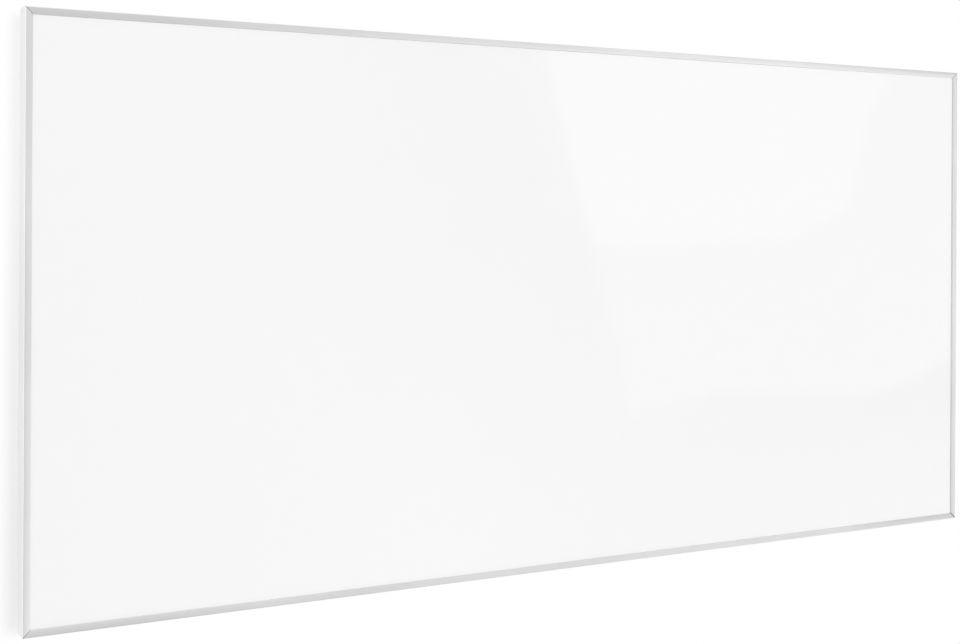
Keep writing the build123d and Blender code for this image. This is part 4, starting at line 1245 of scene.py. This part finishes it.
@dataclass
class StudioSet:
    """The wall, the floor, the lamps and the room that the heater's gloss shows."""

    side: float = 5.0
    wall_face: float = 0.5 * MM
    wall_top: float = 3.2
    floor_level: float = -1.2
    floor_colour: Colour = (0.86, 0.86, 0.86)
    strip_edge: float = -599.0 * MM
    strip_height: float = 350.0 * MM
    shadow: BarShadow = BarShadow()
    room_light: float = 0.53
    room_gloss: float = 1.10
    lamps: tuple[Lamp, ...] = (
        Lamp("key_lamp", 15.0, 9.0, 24.0, 0.43),
        Lamp("back_lamp", 215.0, 35.0, 30.0, 0.40),
    )
    tones: tuple[RoomTone, ...] = (
        RoomTone(49.0, -26.0, 22.0, 0.60),
        RoomTone(-17.0, -14.0, 43.0, -0.66),
        RoomTone(45.0, 9.0, 30.0, -0.50),
        RoomTone(60.0, 16.0, 30.0, -0.50),
        RoomTone(38.0, 8.0, 13.0, 0.50),
        RoomTone(-50.0, 8.0, 24.0, 0.15),
        RoomTone(180.0, -5.0, 84.0, -0.52),
        RoomTone(150.0, 25.0, 40.0, 0.22),
        RoomTone(-140.0, -30.0, 40.0, 0.16),
        RoomTone(0.0, -85.0, 65.0, -0.60),
    )
    openings: tuple[Reflection, ...] = (
        Reflection("wide_opening", (
            (-0.036, 0.30, 0.003), (0.03, 0.071, 0.016), (0.08, -0.131, 0.012), (0.206, -0.110, 0.010),
            (0.43, -0.128, 0.010), (0.514, -0.115, 0.010), (0.60, -0.083, 0.010), (0.62, 0.32, 0.003),
        ), 1.17, -3.2),
        Reflection("bright_opening", (
            (-0.036, 0.30, 0.003), (0.03, 0.071, 0.016), (0.305, 0.076, 0.008), (0.408, 0.112, 0.008),
            (0.442, 0.235, 0.010), (0.49, 0.30, 0.010),
        ), 1.53, -3.1),
    )

    def plane(
        self, name: str, corners: Sequence[Triple], paint: Paint, front: Socket, clear: Socket | float = 0.0,
    ) -> Piece:
        """Makes a flat piece of the stage whose back is seen through.

        Args:
            name: its name.
            corners: its corners, anticlockwise seen from its front.
            paint: its material.
            front: the shader on its front.
            clear: where this is 1 the front is seen through too.

        Returns:
            The piece.
        """
        shape = bmesh.new()
        shape.faces.new([shape.verts.new(corner) for corner in corners])
        made = new_piece(name, shape)
        hidden = paint.calc("MAXIMUM", paint.node("ShaderNodeNewGeometry").outputs["Backfacing"], clear)
        paint.show(paint.one_of(hidden, front, paint.clear()))
        made.data.materials.append(paint.material)
        return made

    def wall(self) -> None:
        """A white wall that is seen from the front only and takes the soft shadow beside the left bar.

        Gloss sees only the strip of wall left of the heater, which its left side shows.
        """
        paint = Paint("wall_white")
        across, _, height = paint.parts(paint.here())
        shiny = paint.node("ShaderNodeLightPath").outputs["Is Glossy Ray"]
        strength = paint.calc("ADD", 1.0, paint.product(shiny, self.room_gloss - 1.0))
        white = paint.node("ShaderNodeEmission", {"Strength": strength}).outputs[0]
        lit = paint.node("ShaderNodeBsdfDiffuse", {"Color": WHITE}).outputs[0]
        strip = paint.product(
            paint.calc("LESS_THAN", across, self.strip_edge),
            paint.calc("LESS_THAN", paint.calc("ABSOLUTE", height), self.strip_height),
        )
        front = paint.one_of(self.shadow.lay(paint, across, height), white, lit)
        clear = paint.product(shiny, paint.calc("SUBTRACT", 1.0, strip))
        side, face, low, high = self.side, self.wall_face, self.floor_level, self.wall_top
        corners = ((-side, face, low), (side, face, low), (side, face, high), (-side, face, high))
        hide_from(self.plane("studio_wall", corners, paint, front, clear), "diffuse", "shadow", "transmission")

    def floor(self) -> None:
        """A plain pale floor under the heater that takes its shadow and is seen from above only."""
        paint = Paint("floor_pale")
        lit = paint.node("ShaderNodeBsdfDiffuse", {"Color": (*self.floor_colour, 1.0)}).outputs[0]
        side, level = self.side, self.floor_level
        corners = ((-side, -side, level), (side, -side, level), (side, side, level), (-side, side, level))
        hide_from(self.plane("studio_floor", corners, paint, lit), "glossy")

    def room(self) -> None:
        """The world: white to the camera, a room with soft tones to gloss, and plain soft light to the rest."""
        world = bpy.data.worlds.new("room")
        bpy.context.scene.world = world
        world.use_nodes = True
        world.cycles.sampling_method = "NONE"
        nodes = NodeTree(world.node_tree)
        nodes.tree.nodes.clear()
        way = nodes.node("ShaderNodeTexCoord").outputs["Generated"]
        gloss = self.room_gloss
        for tone in self.tones:
            aim = nodes.node(
                "ShaderNodeVectorMath", {0: way, 1: direction(tone.azimuth, tone.elevation)},
                operation="DOT_PRODUCT",
            )
            ends = (math.cos(math.radians(tone.width)), 1.0)
            gloss = nodes.calc("ADD", gloss, nodes.ramp(aim.outputs["Value"], ends, (0.0, tone.change)))
        light = nodes.node("ShaderNodeLightPath").outputs
        shiny = nodes.calc("MAXIMUM", light["Is Glossy Ray"], light["Is Transmission Ray"])
        seen = nodes.mixed(light["Is Camera Ray"], nodes.mixed(shiny, self.room_light, gloss), 1.0)
        back = nodes.node("ShaderNodeBackground", {"Color": WHITE, "Strength": seen})
        nodes.node("ShaderNodeOutputWorld", {"Surface": back.outputs[0]})

    def build(self) -> None:
        """Sets up the camera, the room, the wall, the floor, the lamps and the openings."""
        bpy.context.scene.view_settings.view_transform = "Standard"
        VIEWPOINT.build()
        self.room()
        self.wall()
        self.floor()
        for light in (*self.lamps, *self.openings):
            light.build()


def main() -> None:
    """Builds the studio and each sub-assembly in order."""
    logging.basicConfig(level=logging.INFO, format="%(name)s: %(message)s")
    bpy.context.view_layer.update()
    StudioSet().build()
    for group in (
        FrontPanel(), AluminiumFrame(), InnerLayers(), BackPlate(), WallRails(), Hangers(), TerminalBox(),
        CableGland(), RockerSwitch(), Wiring(),
    ):
        for piece in group.build():
            LOG.info("%s: %s", type(group).__name__, piece.name)


if __name__ == "__main__":
    main()
